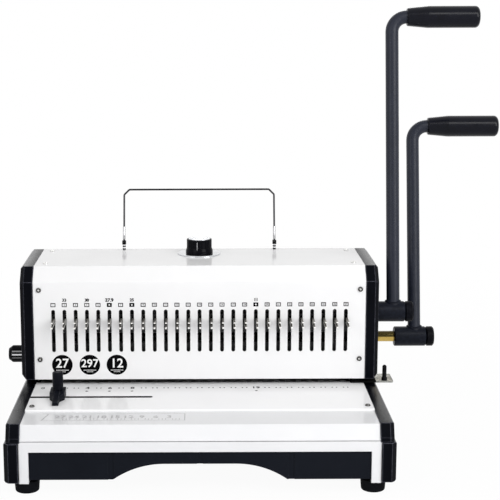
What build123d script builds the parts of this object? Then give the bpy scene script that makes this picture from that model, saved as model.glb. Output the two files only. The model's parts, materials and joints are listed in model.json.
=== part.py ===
from build123d import *
from math import asin, atan2, cos, degrees, pi, radians, sin, sqrt, tan
import os

# Wire binding machine: a bench machine that punches a row of holes along the edge of a
# sheet with one lever, and works a row of hooks for the wire with a second, shorter lever.
# Lengths in millimetres. X runs left to right, Y from front to back, Z upwards.
# While the pieces are made, X = 0 is the middle, Y = 0 the face of the front panel and
# Z = 0 the bench. At the end everything is moved so that the origin is at the bottom
# centre of the whole machine.

# Clearances and overruns
seat_gap = 0.3           # between pieces that lie against each other
running_gap = 0.05       # radial, shaft in a bush
slide_gap = 0.15         # flat sliding fit
screw_gap = 0.2          # radial, screw in a hole of a sheet
overrun = 2.0            # how far a cutter passes the face that it cuts

# Wire pitch and the row of slots
slot_pitch = 12.7        # two holes to the inch
slot_count = 27
slot_width = 4.2
slot_length = 49.1
slot_low_z = 116.7

# Housing, folded from one white sheet
sheet_width = 375.0
sheet_thick = 1.2
panel_low_z = 84.7
panel_height = 112.9
slope_depth = 14.7
slope_height = 15.7
rear_room = 31.0         # from the binding shaft to the housing's back
panel_return = 8.0       # lip folded inwards under the panel
rear_return = 12.0       # lip folded down behind the top

# Table in front, with its sloping front flange
table_z = 74.8
table_sheet = 1.5
table_reach = 135.8      # from the panel to the bend of the flange
flange_slope = 6.9
flange_height = 16.1
table_rear_y = 13.0
guide_slot_y = -44.4
guide_slot_width = 6.0
guide_slot_right_x = -52.0
guide_slot_left_x = -176.0

# Ruler plate on the table
ruler_thick = 2.4
ruler_front_y = -92.0

# Base frame round the drawer
bezel_front_y = -143.0
bezel_overhang = 1.8     # beyond the housing on each side
bezel_leg_width = 10.6
bezel_depth = 12.0
bezel_wall = 1.5
bezel_top_z = 58.0
bezel_bar_height = 11.0
leg_bottom_z = 12.7

# Base pan
pan_thick = 1.5
pan_notch_half_width = 105.0
pan_notch_rear_y = -78.0
pan_lip_height = 20.0

# Steel side plates
plate_thick = 4.0
plate_inset = 0.3
throat_notch_depth = 39.5
plate_rear_gap = 3.0

# Side covers, one moulded shell at each end
cover_width = 14.7
cover_wall = 3.0
cover_front_bevel = 4.5
cover_ledge_bevel = 1.8
cover_throat_bevel = 5.2
cover_top_bevel = 3.0
cover_proud = 0.8        # in front of the panel
cover_ledge_z = 76.0
cover_front_top_y = -136.6
cover_crease_z = 61.9
cover_front_y = -143.4
cover_low_z = 57.0
cover_groove_width = 1.6
cover_groove_depth = 1.2
cover_groove_ys = (-107.0, -44.0, 68.0)

# End caps of the base, below the side covers
cap_overhang = 2.2       # beyond the side cover
cap_top_z = 56.6
cap_low_z = 14.0
cap_front_y = -145.0
cap_side_chamfer = 5.0
cap_edge_chamfer = 1.5

# Rear cover
rear_sheet = 1.2
rear_low_z = 14.5
rear_top_z = 209.0
vent_count = 9
vent_pitch = 14.0
vent_width = 3.0
vent_length = 40.0
vent_low_z = 40.0

# Die, below the throat, and stripper, above it
die_depth = 16.2
die_height = 16.9
die_drop = 0.3           # die's top below the ruler plate
stripper_front_y = 10.5
stripper_depth = 17.5
stripper_height = 8.0

# Punch carriage: bar, pins and two racks
pin_row_y = 17.5
pin_width = 5.0
pin_depth = 4.0
pin_tip_lift = 1.3       # tip above the panel's lower edge
punch_bar_low_z = 112.0
punch_bar_height = 12.0
punch_bar_front_y = 12.7
punch_bar_depth = 9.0
rack_x = 150.0
rack_width = 8.0
rack_back = 6.6          # rack behind its teeth
rack_spare = 9.0         # teeth beyond what the travel needs

# Gears
gear_module = 1.5
punch_teeth = 14
binding_teeth = 25
pressure_angle = 20.0
tooth_share = 0.42       # of the pitch, leaves backlash
addendum_share = 0.8     # of the module
dedendum_share = 1.25    # of the module

# Punch lever, the long one
punch_axis_z = 155.5
punch_shaft_dia = 14.0
punch_lean_angle = 10.6  # degrees, leaning back at rest
punch_turn_angle = 90.0  # degrees of travel
punch_lever_length = 339.0
punch_post_x = 222.9
punch_hub_end_x = 235.6
punch_collar_end_x = 245.5
punch_grip_start_x = 240.1
punch_grip_end_x = 323.6

# Binding lever, behind it and further out
binding_axis_z = 111.4
binding_shaft_dia = 10.0
binding_lean_angle = 12.0
binding_turn_angle = 80.0
binding_lever_length = 252.5
binding_post_x = 257.4
binding_hub_start_x = 233.1
binding_hub_end_x = 270.4
binding_collar_end_x = 280.0
binding_grip_start_x = 275.4
binding_grip_end_x = 360.0
sleeve_dia = 12.6

# What both levers share
bar_dia = 15.0
bar_bend = 17.0
hub_dia = 23.4
hub_chamfer = 0.8
collar_chamfer = 1.6
grip_dia = 25.0
grip_neck_dia = 20.4
grip_taper_length = 24.0
grip_end_round = 5.0
grip_neck_round = 1.5
grip_end_wall = 8.0
bush_dia = 20.0
bush_flange_dia = 26.0
bush_flange_thick = 1.5

# Hook carriage: bar behind the panel, hooks, arms and racks
hook_bar_depth = 4.0
hook_bar_height = 20.0
hook_thick = 2.0
hook_shift_x = 0.8       # the hooks stand right of the middle of their slots
hook_low_z = 150.0
hook_height = 6.2
hook_upper_reach = 24.0  # of the upper lip, in front of the panel
hook_lower_reach = 28.5  # of the lower lip
hook_mouth_height = 3.2
hook_mouth_rear = 16.0   # mouth's inner end, in front of the panel
hook_upper_lip = 1.1
hook_nose_round = 0.8
arm_inset = 7.2          # from the side plate to the arm's middle
arm_room = 1.5           # arm below the punch shaft
bar_end_room = 2.5       # punch bar's end to the arm
arm_width = 4.0
arm_height = 9.0
hook_rack_width = 8.0
hook_rack_back = 6.6

# Rails for the hook carriage, on the side plates
rail_lip = 4.0           # in front of the rack
rail_depth = 13.3
rail_low_z = 70.0
rail_height = 95.0
rail_lip_inset = 4.9

# Knob for the wire size, on the top
size_knob_from_rear = 33.0
size_knob_dia = 29.6
size_knob_height = 10.4
size_skirt_dia = 32.0
size_skirt_height = 5.8
size_skirt_slope = 3.2     # height of the skirt's sloping part
size_flute_count = 18
size_flute_dia = 2.6
size_cap_dia = 26.0
size_cap_thick = 1.2
dial_ring_dia = 51.3
dial_ring_thick = 1.6
spindle_dia = 8.0
bearing_half_width = 16.0
bearing_depth = 16.0
bearing_height = 20.0

# Closing stop: a stepped cam on the knob's spindle, and the finger on the binding shaft
size_turn_angle = 270.0    # degrees of travel of the knob
stop_step_count = 12       # steps all round the cam
stop_step_rise = 0.6
stop_dia = 34.0
stop_low_z = 138.0
stop_high_z = 152.0
stop_finger_x = 12.0
stop_finger_length = 26.0
stop_finger_width = 5.0
stop_finger_thick = 8.0
stop_ring_dia = 22.0
stop_ring_width = 12.0

# Margin knob on the left, with the cam rod and the back gauge
rack_room = 8.775        # from the cam rod to the hook rack
margin_axis_z = 102.0
margin_rod_dia = 8.0
margin_knob_dia = 19.8
margin_knob_out = 20.2
margin_knob_taper = 4.4    # length of the tapered outer end
margin_knob_slope = 3.2    # how much the taper takes off the radius
margin_flute_count = 15
margin_flute_dia = 3.0
cam_x = 120.0
cam_width = 8.0
cam_reach = 17.7
gauge_travel = 4.0
gauge_room = 2.0         # behind the stripper
gauge_thick = 2.0
gauge_half_length = 162.0
gauge_top_z = 110.0
gauge_pin_x = 90.0
gauge_pin_dia = 3.0
gauge_pin_length = 12.0

# Paper guide in the table's slot
guide_x = -156.7
guide_width = 16.4
guide_nose_width = 6.8
guide_rear_depth = 7.4
guide_shoulder_depth = 11.6
guide_nose_depth = 33.6
guide_height = 9.3
guide_nose_height = 4.0
guide_rib_width = 5.6
guide_rib_height = 1.2
guide_shank_length = 10.0
guide_nut_side = 14.0
guide_nut_thick = 3.0
guide_knob_dia = 11.8
guide_knob_height = 19.0
guide_stem_dia = 5.0

# Side stop: zinc plate with a finger pin, at the right end of the throat
stop_plate_thick = 2.0
stop_plate_front_y = 7.4
stop_plate_depth = 30.6
stop_plate_out_x = 221.5
stop_plate_in_x = 172.0
stop_plate_corner = 2.0
stop_pin_x = 211.7
stop_pin_y = 12.0
stop_pin_dia = 4.9
stop_pin_height = 17.9
stop_pin_foot_dia = 6.4
stop_pin_foot_height = 3.0

# Wire bail at the back of the top
bail_half_width = 90.5
bail_length = 64.1
bail_wire_dia = 2.2
bail_lean_angle = 16.0
bail_corner = 6.2
bail_bend = 2.6
bail_from_rear = 4.0
bail_pivot_rise = 8.7
bail_eye_dia = 3.6
bail_eye_thick = 1.8
bail_pin_dia = 1.4
socket_dia = 2.4
socket_rib_dia = 3.8
socket_rib_height = 1.6
socket_head_width = 4.6
socket_head_depth = 6.0
socket_head_height = 4.4

# Chip drawer
drawer_front_y = -141.0
drawer_front_thick = 4.0
drawer_low_z = 16.5
arch_top_z = 33.6
arch_foot_half_width = 91.0
arch_flat_half_width = 37.5
front_groove_width = 6.0
front_groove_depth = 0.8
front_groove_xs = (-93.0, 0.0, 95.5)
tray_inset = 6.4         # tray's side inside the drawer front's end
tray_wall = 1.5
tray_top_z = 46.0
tray_low_z = 16.7
tray_step_y = -74.0
tray_step_z = 34.6
tray_rear_y = 60.0
tray_rail_width = 11.0
tray_rail_wall = 3.0
tray_rail_height = 13.0

# Feet
foot_inset = 5.0         # foot's middle inside the housing's side
foot_front_y = -126.0
foot_from_rear = 17.0
foot_top_dia = 27.0
foot_bottom_dia = 25.0
foot_round = 2.0
foot_bore_dia = 10.0
foot_bore_depth = 6.0
foot_screw_dia = 4.0
foot_screw_head_dia = 8.0
foot_screw_head_height = 2.5

# Small screws with domed heads and a cross recess
screw_dia = 3.0
screw_head_dia = 5.6
screw_head_height = 1.5
screw_length = 6.0
recess_width = 0.9
recess_share = 0.62      # of the head's width
recess_depth = 0.8
panel_screw_inset = 6.5
panel_screw_zs = (108.2, 188.6)
top_screw_inset = 11.5
top_screw_front_y = 30.0
top_screw_from_rear = 14.0
table_screw_inset = 6.0
table_screw_y = -80.0
rear_screw_zs = (40.0, 190.0)

# Tie rods between the side plates
tie_dia = 10.0
tie_from_rear = 13.0
tie_rear_zs = (40.0, 195.0)
tie_front_z = 62.0
tie_room = 5.0           # behind the cam rod's middle

# Worked out from the sizes above
half_sheet = sheet_width / 2
addendum = gear_module * addendum_share
dedendum = gear_module * dedendum_share
punch_pitch_r = gear_module * punch_teeth / 2
binding_pitch_r = gear_module * binding_teeth / 2
punch_axis_y = punch_bar_front_y + seat_gap + rack_back + dedendum + punch_pitch_r
gauge_y = stripper_front_y + stripper_depth + gauge_room
margin_axis_y = gauge_y + gauge_thick + seat_gap + cam_reach
hook_rack_front_y = margin_axis_y + margin_rod_dia / 2 + rack_room
binding_axis_y = hook_rack_front_y + hook_rack_back + dedendum + binding_pitch_r
housing_depth = binding_axis_y + rear_room
rail_front_y = hook_rack_front_y - rail_lip
rail_rear_y = rail_front_y + rail_depth
slope_low_z = panel_low_z + panel_height
top_z = slope_low_z + slope_height
plate_out_x = half_sheet - plate_inset
plate_front_y = bezel_front_y + bezel_depth + seat_gap
plate_in_x = plate_out_x - plate_thick
arm_x = plate_in_x - arm_inset
hook_bar_half_length = arm_x + arm_width / 2
punch_bar_half_length = arm_x - arm_width / 2 - bar_end_room
cover_in_x = half_sheet + seat_gap
cover_out_x = cover_in_x + cover_width
cap_outer_x = cover_out_x + cap_overhang
bezel_half_width = half_sheet + bezel_overhang
ruler_top_z = table_z + ruler_thick
table_low_z = table_z - table_sheet
pan_top_z = leg_bottom_z + pan_thick
plate_low_z = pan_top_z + seat_gap
plate_rear_y = housing_depth - plate_rear_gap
die_front_y = table_rear_y + seat_gap
die_top_z = ruler_top_z - die_drop
stripper_low_z = panel_low_z + seat_gap
first_slot_x = -slot_pitch * (slot_count - 1) / 2
slot_xs = [first_slot_x + slot_pitch * index for index in range(slot_count)]
punch_travel = punch_pitch_r * radians(punch_turn_angle)
hook_travel = binding_pitch_r * radians(binding_turn_angle)
hook_bar_front_y = punch_bar_front_y - seat_gap - hook_bar_depth
hook_bar_low_z = punch_axis_z - punch_shaft_dia / 2 - arm_room - arm_height
hub_start_x = cover_out_x + seat_gap
knob_low_z = top_z + dial_ring_thick + seat_gap
bail_pivot_z = top_z + bail_pivot_rise
drawer_top_z = bezel_top_z - bezel_bar_height - seat_gap
drawer_half_width = bezel_half_width - bezel_leg_width - seat_gap
tray_half_width = drawer_half_width - tray_inset
size_knob_y = housing_depth - size_knob_from_rear
bail_y = housing_depth - bail_from_rear
foot_x = half_sheet - foot_inset
foot_rear_y = housing_depth - foot_from_rear
panel_screw_x = half_sheet - panel_screw_inset
table_screw_x = half_sheet - table_screw_inset
top_screw_x = half_sheet - top_screw_inset
top_screw_ys = (top_screw_front_y, housing_depth - top_screw_from_rear)
tie_rear_y = housing_depth - tie_from_rear
tie_places = [(tie_rear_y, tie_rear_zs[0]), (tie_rear_y, tie_rear_zs[1]), (margin_axis_y + tie_room, tie_front_z)]
guide_low_z = ruler_top_z + seat_gap
stop_plate_low_z = ruler_top_z + seat_gap


def bar(x, y, z):
    """A block between two values on each axis."""
    size = [side[1] - side[0] for side in (x, y, z)]
    middle = [(side[0] + side[1]) / 2 for side in (x, y, z)]
    return Pos(*middle) * Box(*size)


def rod_x(x, y, z, dia):
    """A round rod along X, from x[0] to x[1]."""
    length = x[1] - x[0]
    return Pos((x[0] + x[1]) / 2, y, z) * Rot(0, 90, 0) * Cylinder(dia / 2, length)


def rod_z(x, y, z, dia):
    """A round rod along Z, from z[0] to z[1]."""
    length = z[1] - z[0]
    return Pos(x, y, (z[0] + z[1]) / 2) * Cylinder(dia / 2, length)


def rod_y(x, y, z, dia):
    """A round rod along Y, from y[0] to y[1]."""
    length = y[1] - y[0]
    return Pos(x, (y[0] + y[1]) / 2, z) * Rot(90, 0, 0) * Cylinder(dia / 2, length)


def outline(points):
    """A flat face with straight sides."""
    return make_face(Polyline(*points, close=True))


def side_slab(face, x_from, x_to):
    """A face drawn as (Y, Z), made solid between two values of X."""
    return extrude(Plane.YZ.offset(x_from) * face, amount=x_to - x_from)


def front_slab(face, y_from, y_to):
    """A face drawn as (X, Z), made solid from one value of Y forward to another."""
    return extrude(Plane.XZ.offset(-y_from) * face, amount=y_from - y_to)


def mirrored(piece):
    """The same piece on the other side of the machine."""
    return mirror(piece, about=Plane.YZ)


def pair(piece):
    """A piece and its mirror image."""
    return [piece, mirrored(piece)]


def inset(face, amount):
    """A face drawn in by a wall's thickness, with its corners kept sharp."""
    return offset(face, amount=-amount, kind=Kind.INTERSECTION)


def screw():
    """A screw that stands on Z = 0, with its head up and its shank down."""
    head = Cylinder(screw_head_dia / 2, screw_head_height, align=(Align.CENTER, Align.CENTER, Align.MIN))
    head = fillet(head.edges().group_by(Axis.Z)[-1], screw_head_height / 2)
    shank = Pos(0, 0, -screw_length / 2) * Cylinder(screw_dia / 2, screw_length)
    arm = screw_head_dia * recess_share
    cross = Box(arm, recess_width, recess_depth) + Box(recess_width, arm, recess_depth)
    return head + shank - Pos(0, 0, screw_head_height - recess_depth / 2) * cross


def involute_turn(base_r, radius):
    """How far the flank has turned, in radians, where it reaches a radius."""
    roll = sqrt(max(radius * radius / (base_r * base_r) - 1, 0))
    return roll - atan2(roll, 1)


def gear(teeth, width, bore_dia):
    """A spur gear about X, with a tooth pointing to -Y, centred on its width."""
    pitch_r = gear_module * teeth / 2
    base_r = pitch_r * cos(radians(pressure_angle))
    tip_r = pitch_r + addendum
    root_r = pitch_r - dedendum
    half_tooth = pi * tooth_share / teeth + involute_turn(base_r, pitch_r)
    steps = 4
    flank = []
    for step in range(steps + 1):
        radius = max(base_r, root_r) + (tip_r - max(base_r, root_r)) * step / steps
        flank.append((radius, half_tooth - involute_turn(base_r, radius)))
    if root_r < base_r:
        flank.insert(0, (root_r, half_tooth))
    points = []
    for tooth in range(teeth):
        middle = pi + 2 * pi * tooth / teeth
        points += [(r * cos(middle - a), r * sin(middle - a)) for r, a in flank]
        points += [(r * cos(middle + a), r * sin(middle + a)) for r, a in reversed(flank)]
    blank = side_slab(outline(points), -width / 2, width / 2)
    return blank - rod_x((-width, width), 0, 0, bore_dia)


def rack(pitch_y, z_from, z_to, mesh_z, back, x_from, x_to):
    """A straight rack with teeth towards +Y and a gap opposite the gear's tooth at mesh_z."""
    pitch = pi * gear_module
    slant = tan(radians(pressure_angle))
    half = pitch * tooth_share / 2
    root_y = pitch_y - dedendum
    tip_y = pitch_y + addendum
    teeth = []
    first = int((z_from - mesh_z) / pitch) - 1
    last = int((z_to - mesh_z) / pitch) + 1
    for index in range(first, last + 1):
        middle = mesh_z + pitch * (index + 1 / 2)
        low = middle - half - dedendum * slant
        high = middle + half + dedendum * slant
        if low >= z_from and high <= z_to:
            teeth.append((low, high, middle))
    points = [(root_y - back, z_from), (root_y, z_from)]
    for low, high, middle in teeth:
        points.append((root_y, low))
        points.append((tip_y, middle - half + addendum * slant))
        points.append((tip_y, middle + half - addendum * slant))
        points.append((root_y, high))
    points += [(root_y, z_to), (root_y - back, z_to)]
    return side_slab(outline(points), x_from, x_to)


def guide_slot(x_left):
    """The slot in the table that the paper guide slides along."""
    half = guide_slot_width / 2
    run = (x_left, guide_slot_right_x - half)
    ys = (guide_slot_y - half, guide_slot_y + half)
    zs = (table_low_z - overrun, ruler_top_z + overrun)
    return bar(run, ys, zs) + rod_z(guide_slot_right_x - half, guide_slot_y, zs, guide_slot_width)


def table_screw_holes():
    """Holes for the two screws through the table."""
    dia = screw_dia + 2 * screw_gap
    zs = (table_low_z - overrun, ruler_top_z + overrun)
    return [rod_z(side * table_screw_x, table_screw_y, zs, dia) for side in (-1, 1)]


def housing_cover():
    """Front panel, slope and top in one folded sheet, with the row of slots."""
    profile = outline([
        (0, panel_low_z),
        (0, slope_low_z),
        (slope_depth, top_z),
        (housing_depth, top_z),
        (housing_depth, panel_low_z),
    ])
    sheet = side_slab(profile, -half_sheet, half_sheet)
    bends = sheet.edges().filter_by(Axis.X).group_by(Axis.Y)
    sheet = fillet(bends[0].sort_by(Axis.Z)[-1:] + bends[1], sheet_thick)
    hollow = side_slab(inset(profile, sheet_thick), -half_sheet - overrun, half_sheet + overrun)
    sheet -= hollow
    wide = (-half_sheet - overrun, half_sheet + overrun)
    under = bar(wide, (panel_return + sheet_thick, housing_depth + overrun),
                (panel_low_z - overrun, top_z - rear_return))
    sheet -= under
    slot_mid_z = slot_low_z + slot_length / 2
    slot_face = Plane.XZ * Rot(0, 0, 90) * SlotOverall(slot_length, slot_width)
    slot = extrude(slot_face, amount=sheet_thick + overrun, both=True)
    for x in slot_xs:
        sheet -= Pos(x, 0, slot_mid_z) * slot
    hole_dia = screw_dia + 2 * screw_gap
    for side in (-1, 1):
        for z in panel_screw_zs:
            sheet -= rod_y(side * panel_screw_x, (-overrun, sheet_thick + overrun), z, hole_dia)
        for y in top_screw_ys:
            sheet -= rod_z(side * top_screw_x, y, (top_z - sheet_thick - overrun, top_z + overrun), hole_dia)
    sheet -= rod_z(0, size_knob_y, (top_z - sheet_thick - overrun, top_z + overrun),
                   spindle_dia + 2 * screw_gap)
    return sheet


def rear_cover():
    """Flat sheet that closes the back, with a row of air slots."""
    y_out = housing_depth - sheet_thick - seat_gap
    sheet = bar((-half_sheet, half_sheet), (y_out - rear_sheet, y_out), (rear_low_z, rear_top_z))
    vent_face = Plane.XZ * Rot(0, 0, 90) * SlotOverall(vent_length, vent_width)
    vent = extrude(vent_face, amount=rear_sheet + overrun, both=True)
    for index in range(vent_count):
        x = vent_pitch * (index - (vent_count - 1) / 2)
        sheet -= Pos(x, y_out, vent_low_z + vent_length / 2) * vent
    dia = screw_dia + 2 * screw_gap
    for side in (-1, 1):
        for z in rear_screw_zs:
            sheet -= rod_y(side * panel_screw_x, (y_out - rear_sheet - overrun, y_out + overrun), z, dia)
    return sheet


def table_cover():
    """Table sheet with its sloping front flange."""
    flange_low_z = table_z - flange_height
    profile = outline([
        (-table_reach - flange_slope, flange_low_z),
        (-table_reach, table_z),
        (table_rear_y, table_z),
        (table_rear_y, flange_low_z),
    ])
    sheet = side_slab(profile, -half_sheet, half_sheet)
    top_edges = sheet.edges().filter_by(Axis.X).group_by(Axis.Z)[-1]
    sheet = fillet(top_edges.sort_by(Axis.Y)[0], table_sheet)
    wide = (-half_sheet - overrun, half_sheet + overrun)
    hollow_profile = outline([
        (-table_reach - flange_slope + table_sheet, flange_low_z - overrun),
        (-table_reach - flange_slope + table_sheet, flange_low_z),
        (-table_reach + table_sheet, table_low_z),
        (table_rear_y + overrun, table_low_z),
        (table_rear_y + overrun, flange_low_z - overrun),
    ])
    sheet -= side_slab(hollow_profile, wide[0], wide[1])
    sheet -= guide_slot(guide_slot_left_x)
    for hole in table_screw_holes():
        sheet -= hole
    return sheet


def ruler_plate():
    """Plate on the table in front of the throat, slotted for the paper guide."""
    plate = bar((-half_sheet, half_sheet), (ruler_front_y, table_rear_y), (table_z, ruler_top_z))
    front = plate.edges().filter_by(Axis.X).group_by(Axis.Z)[-1].sort_by(Axis.Y)[0]
    plate = chamfer(front, ruler_thick / 3)
    plate -= guide_slot(-half_sheet - overrun)
    for hole in table_screw_holes():
        plate -= hole
    return plate


def base_bezel():
    """Folded frame round the drawer: a bar across the top and two short legs."""
    width = bezel_half_width - bezel_leg_width
    bar_low_z = bezel_top_z - bezel_bar_height
    shoulder_z = cover_low_z - seat_gap
    face = outline([
        (-bezel_half_width, leg_bottom_z),
        (-bezel_half_width, shoulder_z),
        (-half_sheet, shoulder_z),
        (-half_sheet, bezel_top_z),
        (half_sheet, bezel_top_z),
        (half_sheet, shoulder_z),
        (bezel_half_width, shoulder_z),
        (bezel_half_width, leg_bottom_z),
        (width, leg_bottom_z),
        (width, bar_low_z),
        (-width, bar_low_z),
        (-width, leg_bottom_z),
    ])
    back_y = bezel_front_y + bezel_depth
    frame = front_slab(face, back_y, bezel_front_y)
    uprights = frame.edges().filter_by(Axis.Z).group_by(Axis.Y)[0].group_by(Axis.X)
    frame = fillet(uprights[0] + uprights[-1], bezel_wall)
    hollow = front_slab(inset(face, bezel_wall), back_y + overrun, bezel_front_y + bezel_wall)
    return frame - hollow


def base_pan():
    """Bottom sheet, cut back behind the finger arch, with a lip up the back."""
    xs = (-plate_out_x, plate_out_x)
    pan = bar(xs, (plate_front_y, plate_rear_y), (leg_bottom_z, pan_top_z))
    pan -= bar((-pan_notch_half_width, pan_notch_half_width), (plate_front_y - overrun, pan_notch_rear_y),
               (leg_bottom_z - overrun, pan_top_z + overrun))
    lip_xs = (-plate_in_x + seat_gap, plate_in_x - seat_gap)
    pan += bar(lip_xs, (plate_rear_y - pan_thick, plate_rear_y), (leg_bottom_z, pan_top_z + pan_lip_height))
    for place in foot_places():
        pan -= rod_z(place[0], place[1], (leg_bottom_z - overrun, pan_top_z + overrun),
                     foot_screw_dia + 2 * running_gap)
    return pan


def side_plate():
    """Right-hand steel plate: carries the shafts, the die, the stripper and the tie rods."""
    low = table_low_z - seat_gap
    throat_top = stripper_low_z
    face = outline([
        (plate_front_y, plate_low_z),
        (plate_rear_y, plate_low_z),
        (plate_rear_y, top_z - sheet_thick - seat_gap),
        (slope_depth + sheet_thick, top_z - sheet_thick - seat_gap),
        (sheet_thick + seat_gap, slope_low_z - sheet_thick - seat_gap),
        (sheet_thick + seat_gap, panel_low_z + sheet_thick + seat_gap),
        (panel_return + sheet_thick + seat_gap, throat_top + sheet_thick),
        (throat_notch_depth, throat_top + sheet_thick),
        (throat_notch_depth, low),
        (plate_front_y, low),
    ])
    plate = side_slab(face, plate_in_x, plate_out_x)
    reach = (plate_in_x - overrun, plate_out_x + overrun)
    for y, z in ((punch_axis_y, punch_axis_z), (binding_axis_y, binding_axis_z)):
        plate -= rod_x(reach, y, z, bush_dia + 2 * running_gap)
    plate -= rod_x(reach, margin_axis_y, margin_axis_z, margin_rod_dia + 2 * running_gap)
    return plate


def side_cover_corners():
    """Side view of a side cover, clockwise, each corner with the bevel of the edge after it."""
    return [
        (cover_front_y, cover_low_z, cover_front_bevel),
        (cover_front_y, cover_crease_z, cover_front_bevel),
        (cover_front_top_y, cover_ledge_z, cover_ledge_bevel),
        (throat_notch_depth, cover_ledge_z, 0),
        (throat_notch_depth, panel_low_z, cover_throat_bevel),
        (-cover_proud, panel_low_z, cover_front_bevel),
        (-cover_proud, slope_low_z, cover_front_bevel),
        (slope_depth - cover_proud, top_z, cover_top_bevel),
        (housing_depth, top_z, cover_top_bevel),
        (housing_depth, cover_low_z, 0),
    ]


def turns_inward(before, corner, after):
    """Whether a clockwise outline has an inward corner there."""
    first = (corner[0] - before[0], corner[1] - before[1])
    second = (after[0] - corner[0], after[1] - corner[1])
    return first[0] * second[1] - first[1] * second[0] > 0


def bevel_cutters(corners, x_out):
    """Prisms that bevel a slab's outer edges, mitred at outward corners only."""
    cutters = []
    count = len(corners)
    for index, (y, z, size) in enumerate(corners):
        end = corners[(index + 1) % count]
        if size == 0:
            continue
        length = sqrt((end[0] - y) ** 2 + (end[1] - z) ** 2)
        along = ((end[0] - y) / length, (end[1] - z) / length)
        inward = (along[1], -along[0])
        before, after = corners[index - 1], corners[(index + 2) % count]
        lead = 0 if turns_inward(before, (y, z), end) else size
        tail = 0 if turns_inward((y, z), end, after) else size
        start = (y - along[0] * lead, z - along[1] * lead)
        points = []
        for depth, x in (
            (-overrun, x_out - size - overrun),
            (size + overrun, x_out + overrun),
            (-overrun, x_out + overrun),
        ):
            points.append((x, start[0] + inward[0] * depth, start[1] + inward[1] * depth))
        face = make_face(Polyline(*points, close=True))
        cutters.append(extrude(face, amount=length + lead + tail, dir=(0, along[0], along[1])))
    return cutters


def side_cover(shaft_holes):
    """Right-hand side cover, a moulded shell open towards the steel plate."""
    corners = side_cover_corners()
    face = outline([(y, z) for y, z, size in corners])
    cover = side_slab(face, cover_in_x, cover_out_x)
    for cutter in bevel_cutters(corners, cover_out_x):
        cover -= cutter
    cover -= side_slab(inset(face, cover_wall + cover_front_bevel / 2), cover_in_x - overrun,
                       cover_out_x - cover_wall)
    reach = (cover_in_x - overrun, cover_out_x + overrun)
    groove_xs = (cover_out_x - cover_groove_depth, cover_out_x + overrun)
    for y in cover_groove_ys:
        half = cover_groove_width / 2
        cover -= bar(groove_xs, (y - half, y + half), (cover_low_z - overrun, top_z + overrun))
    for y, z, dia in shaft_holes:
        cover -= rod_x(reach, y, z, dia)
    return cover


def base_cap():
    """Right-hand end cap of the base, below the side cover."""
    inner_x = bezel_half_width + seat_gap
    cap = bar((inner_x, cap_outer_x), (cap_front_y, housing_depth), (cap_low_z, cap_top_z))
    outer = cap.edges().group_by(Axis.X)[-1]
    cap = chamfer(outer.filter_by(Axis.Z), cap_side_chamfer)
    rim = cap.faces().sort_by(Axis.X)[-1].edges().filter_by(Axis.Y)
    cap = chamfer(rim, cap_edge_chamfer)
    hollow = bar((inner_x - overrun, cap_outer_x - cover_wall),
                 (cap_front_y + cover_wall + cap_side_chamfer / 2, housing_depth - cover_wall - cap_side_chamfer / 2),
                 (cap_low_z + cover_wall, cap_top_z - cover_wall))
    cap -= hollow
    for y in cover_groove_ys[:2]:
        half = cover_groove_width / 2
        cap -= bar((cap_outer_x - cover_groove_depth, cap_outer_x + overrun), (y - half, y + half),
                   (cap_low_z - overrun, cap_top_z + overrun))
    return cap


def die_block():
    """Steel die below the throat, with one hole for each punch."""
    ys = (die_front_y, die_front_y + die_depth)
    block = bar((-plate_in_x, plate_in_x), ys, (die_top_z - die_height, die_top_z))
    hole = Box(pin_width + 2 * slide_gap, pin_depth + 2 * slide_gap, die_height + 2 * overrun)
    for x in slot_xs:
        block -= Pos(x, pin_row_y, die_top_z - die_height / 2) * hole
    return block


def stripper_bar():
    """Guide bar above the throat that holds the punches in line, with two gauge pins."""
    rear_y = stripper_front_y + stripper_depth
    zs = (stripper_low_z, stripper_low_z + stripper_height)
    block = bar((-plate_in_x, plate_in_x), (stripper_front_y, rear_y), zs)
    hole = Box(pin_width + 2 * slide_gap, pin_depth + 2 * slide_gap, stripper_height + 2 * overrun)
    for x in slot_xs:
        block -= Pos(x, pin_row_y, stripper_low_z + stripper_height / 2) * hole
    for side in (-1, 1):
        block += rod_y(side * gauge_pin_x, (rear_y - overrun, rear_y + gauge_pin_length),
                       stripper_low_z + stripper_height / 2, gauge_pin_dia)
    return block


def tie_rods():
    """Round rods that hold the side plates apart."""
    return [rod_x((-plate_in_x, plate_in_x), y, z, tie_dia) for y, z in tie_places]


def shaft_bush(shaft_dia):
    """Flanged bush in the right-hand plate, about the X axis."""
    bush = rod_x((plate_in_x, plate_out_x), 0, 0, bush_dia)
    bush += rod_x((plate_in_x - bush_flange_thick, plate_in_x), 0, 0, bush_flange_dia)
    reach = (plate_in_x - bush_flange_thick - overrun, plate_out_x + overrun)
    return bush - rod_x(reach, 0, 0, shaft_dia + 2 * running_gap)


def shaft_bushes():
    """The four bushes of the two lever shafts."""
    bushes = []
    bushes += pair(Pos(0, punch_axis_y, punch_axis_z) * shaft_bush(punch_shaft_dia))
    bushes += pair(Pos(0, binding_axis_y, binding_axis_z) * shaft_bush(binding_shaft_dia))
    return bushes


def punch_bar():
    """Bar that drives all the punches."""
    xs = (-punch_bar_half_length, punch_bar_half_length)
    ys = (punch_bar_front_y, punch_bar_front_y + punch_bar_depth)
    return bar(xs, ys, (punch_bar_low_z, punch_bar_low_z + punch_bar_height))


def punch_pins():
    """One punch for each slot, with its tip inside the stripper."""
    tip_z = panel_low_z + pin_tip_lift
    half_x, half_y = pin_width / 2, pin_depth / 2
    ys = (pin_row_y - half_y, pin_row_y + half_y)
    return [bar((x - half_x, x + half_x), ys, (tip_z, punch_bar_low_z)) for x in slot_xs]


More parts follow.
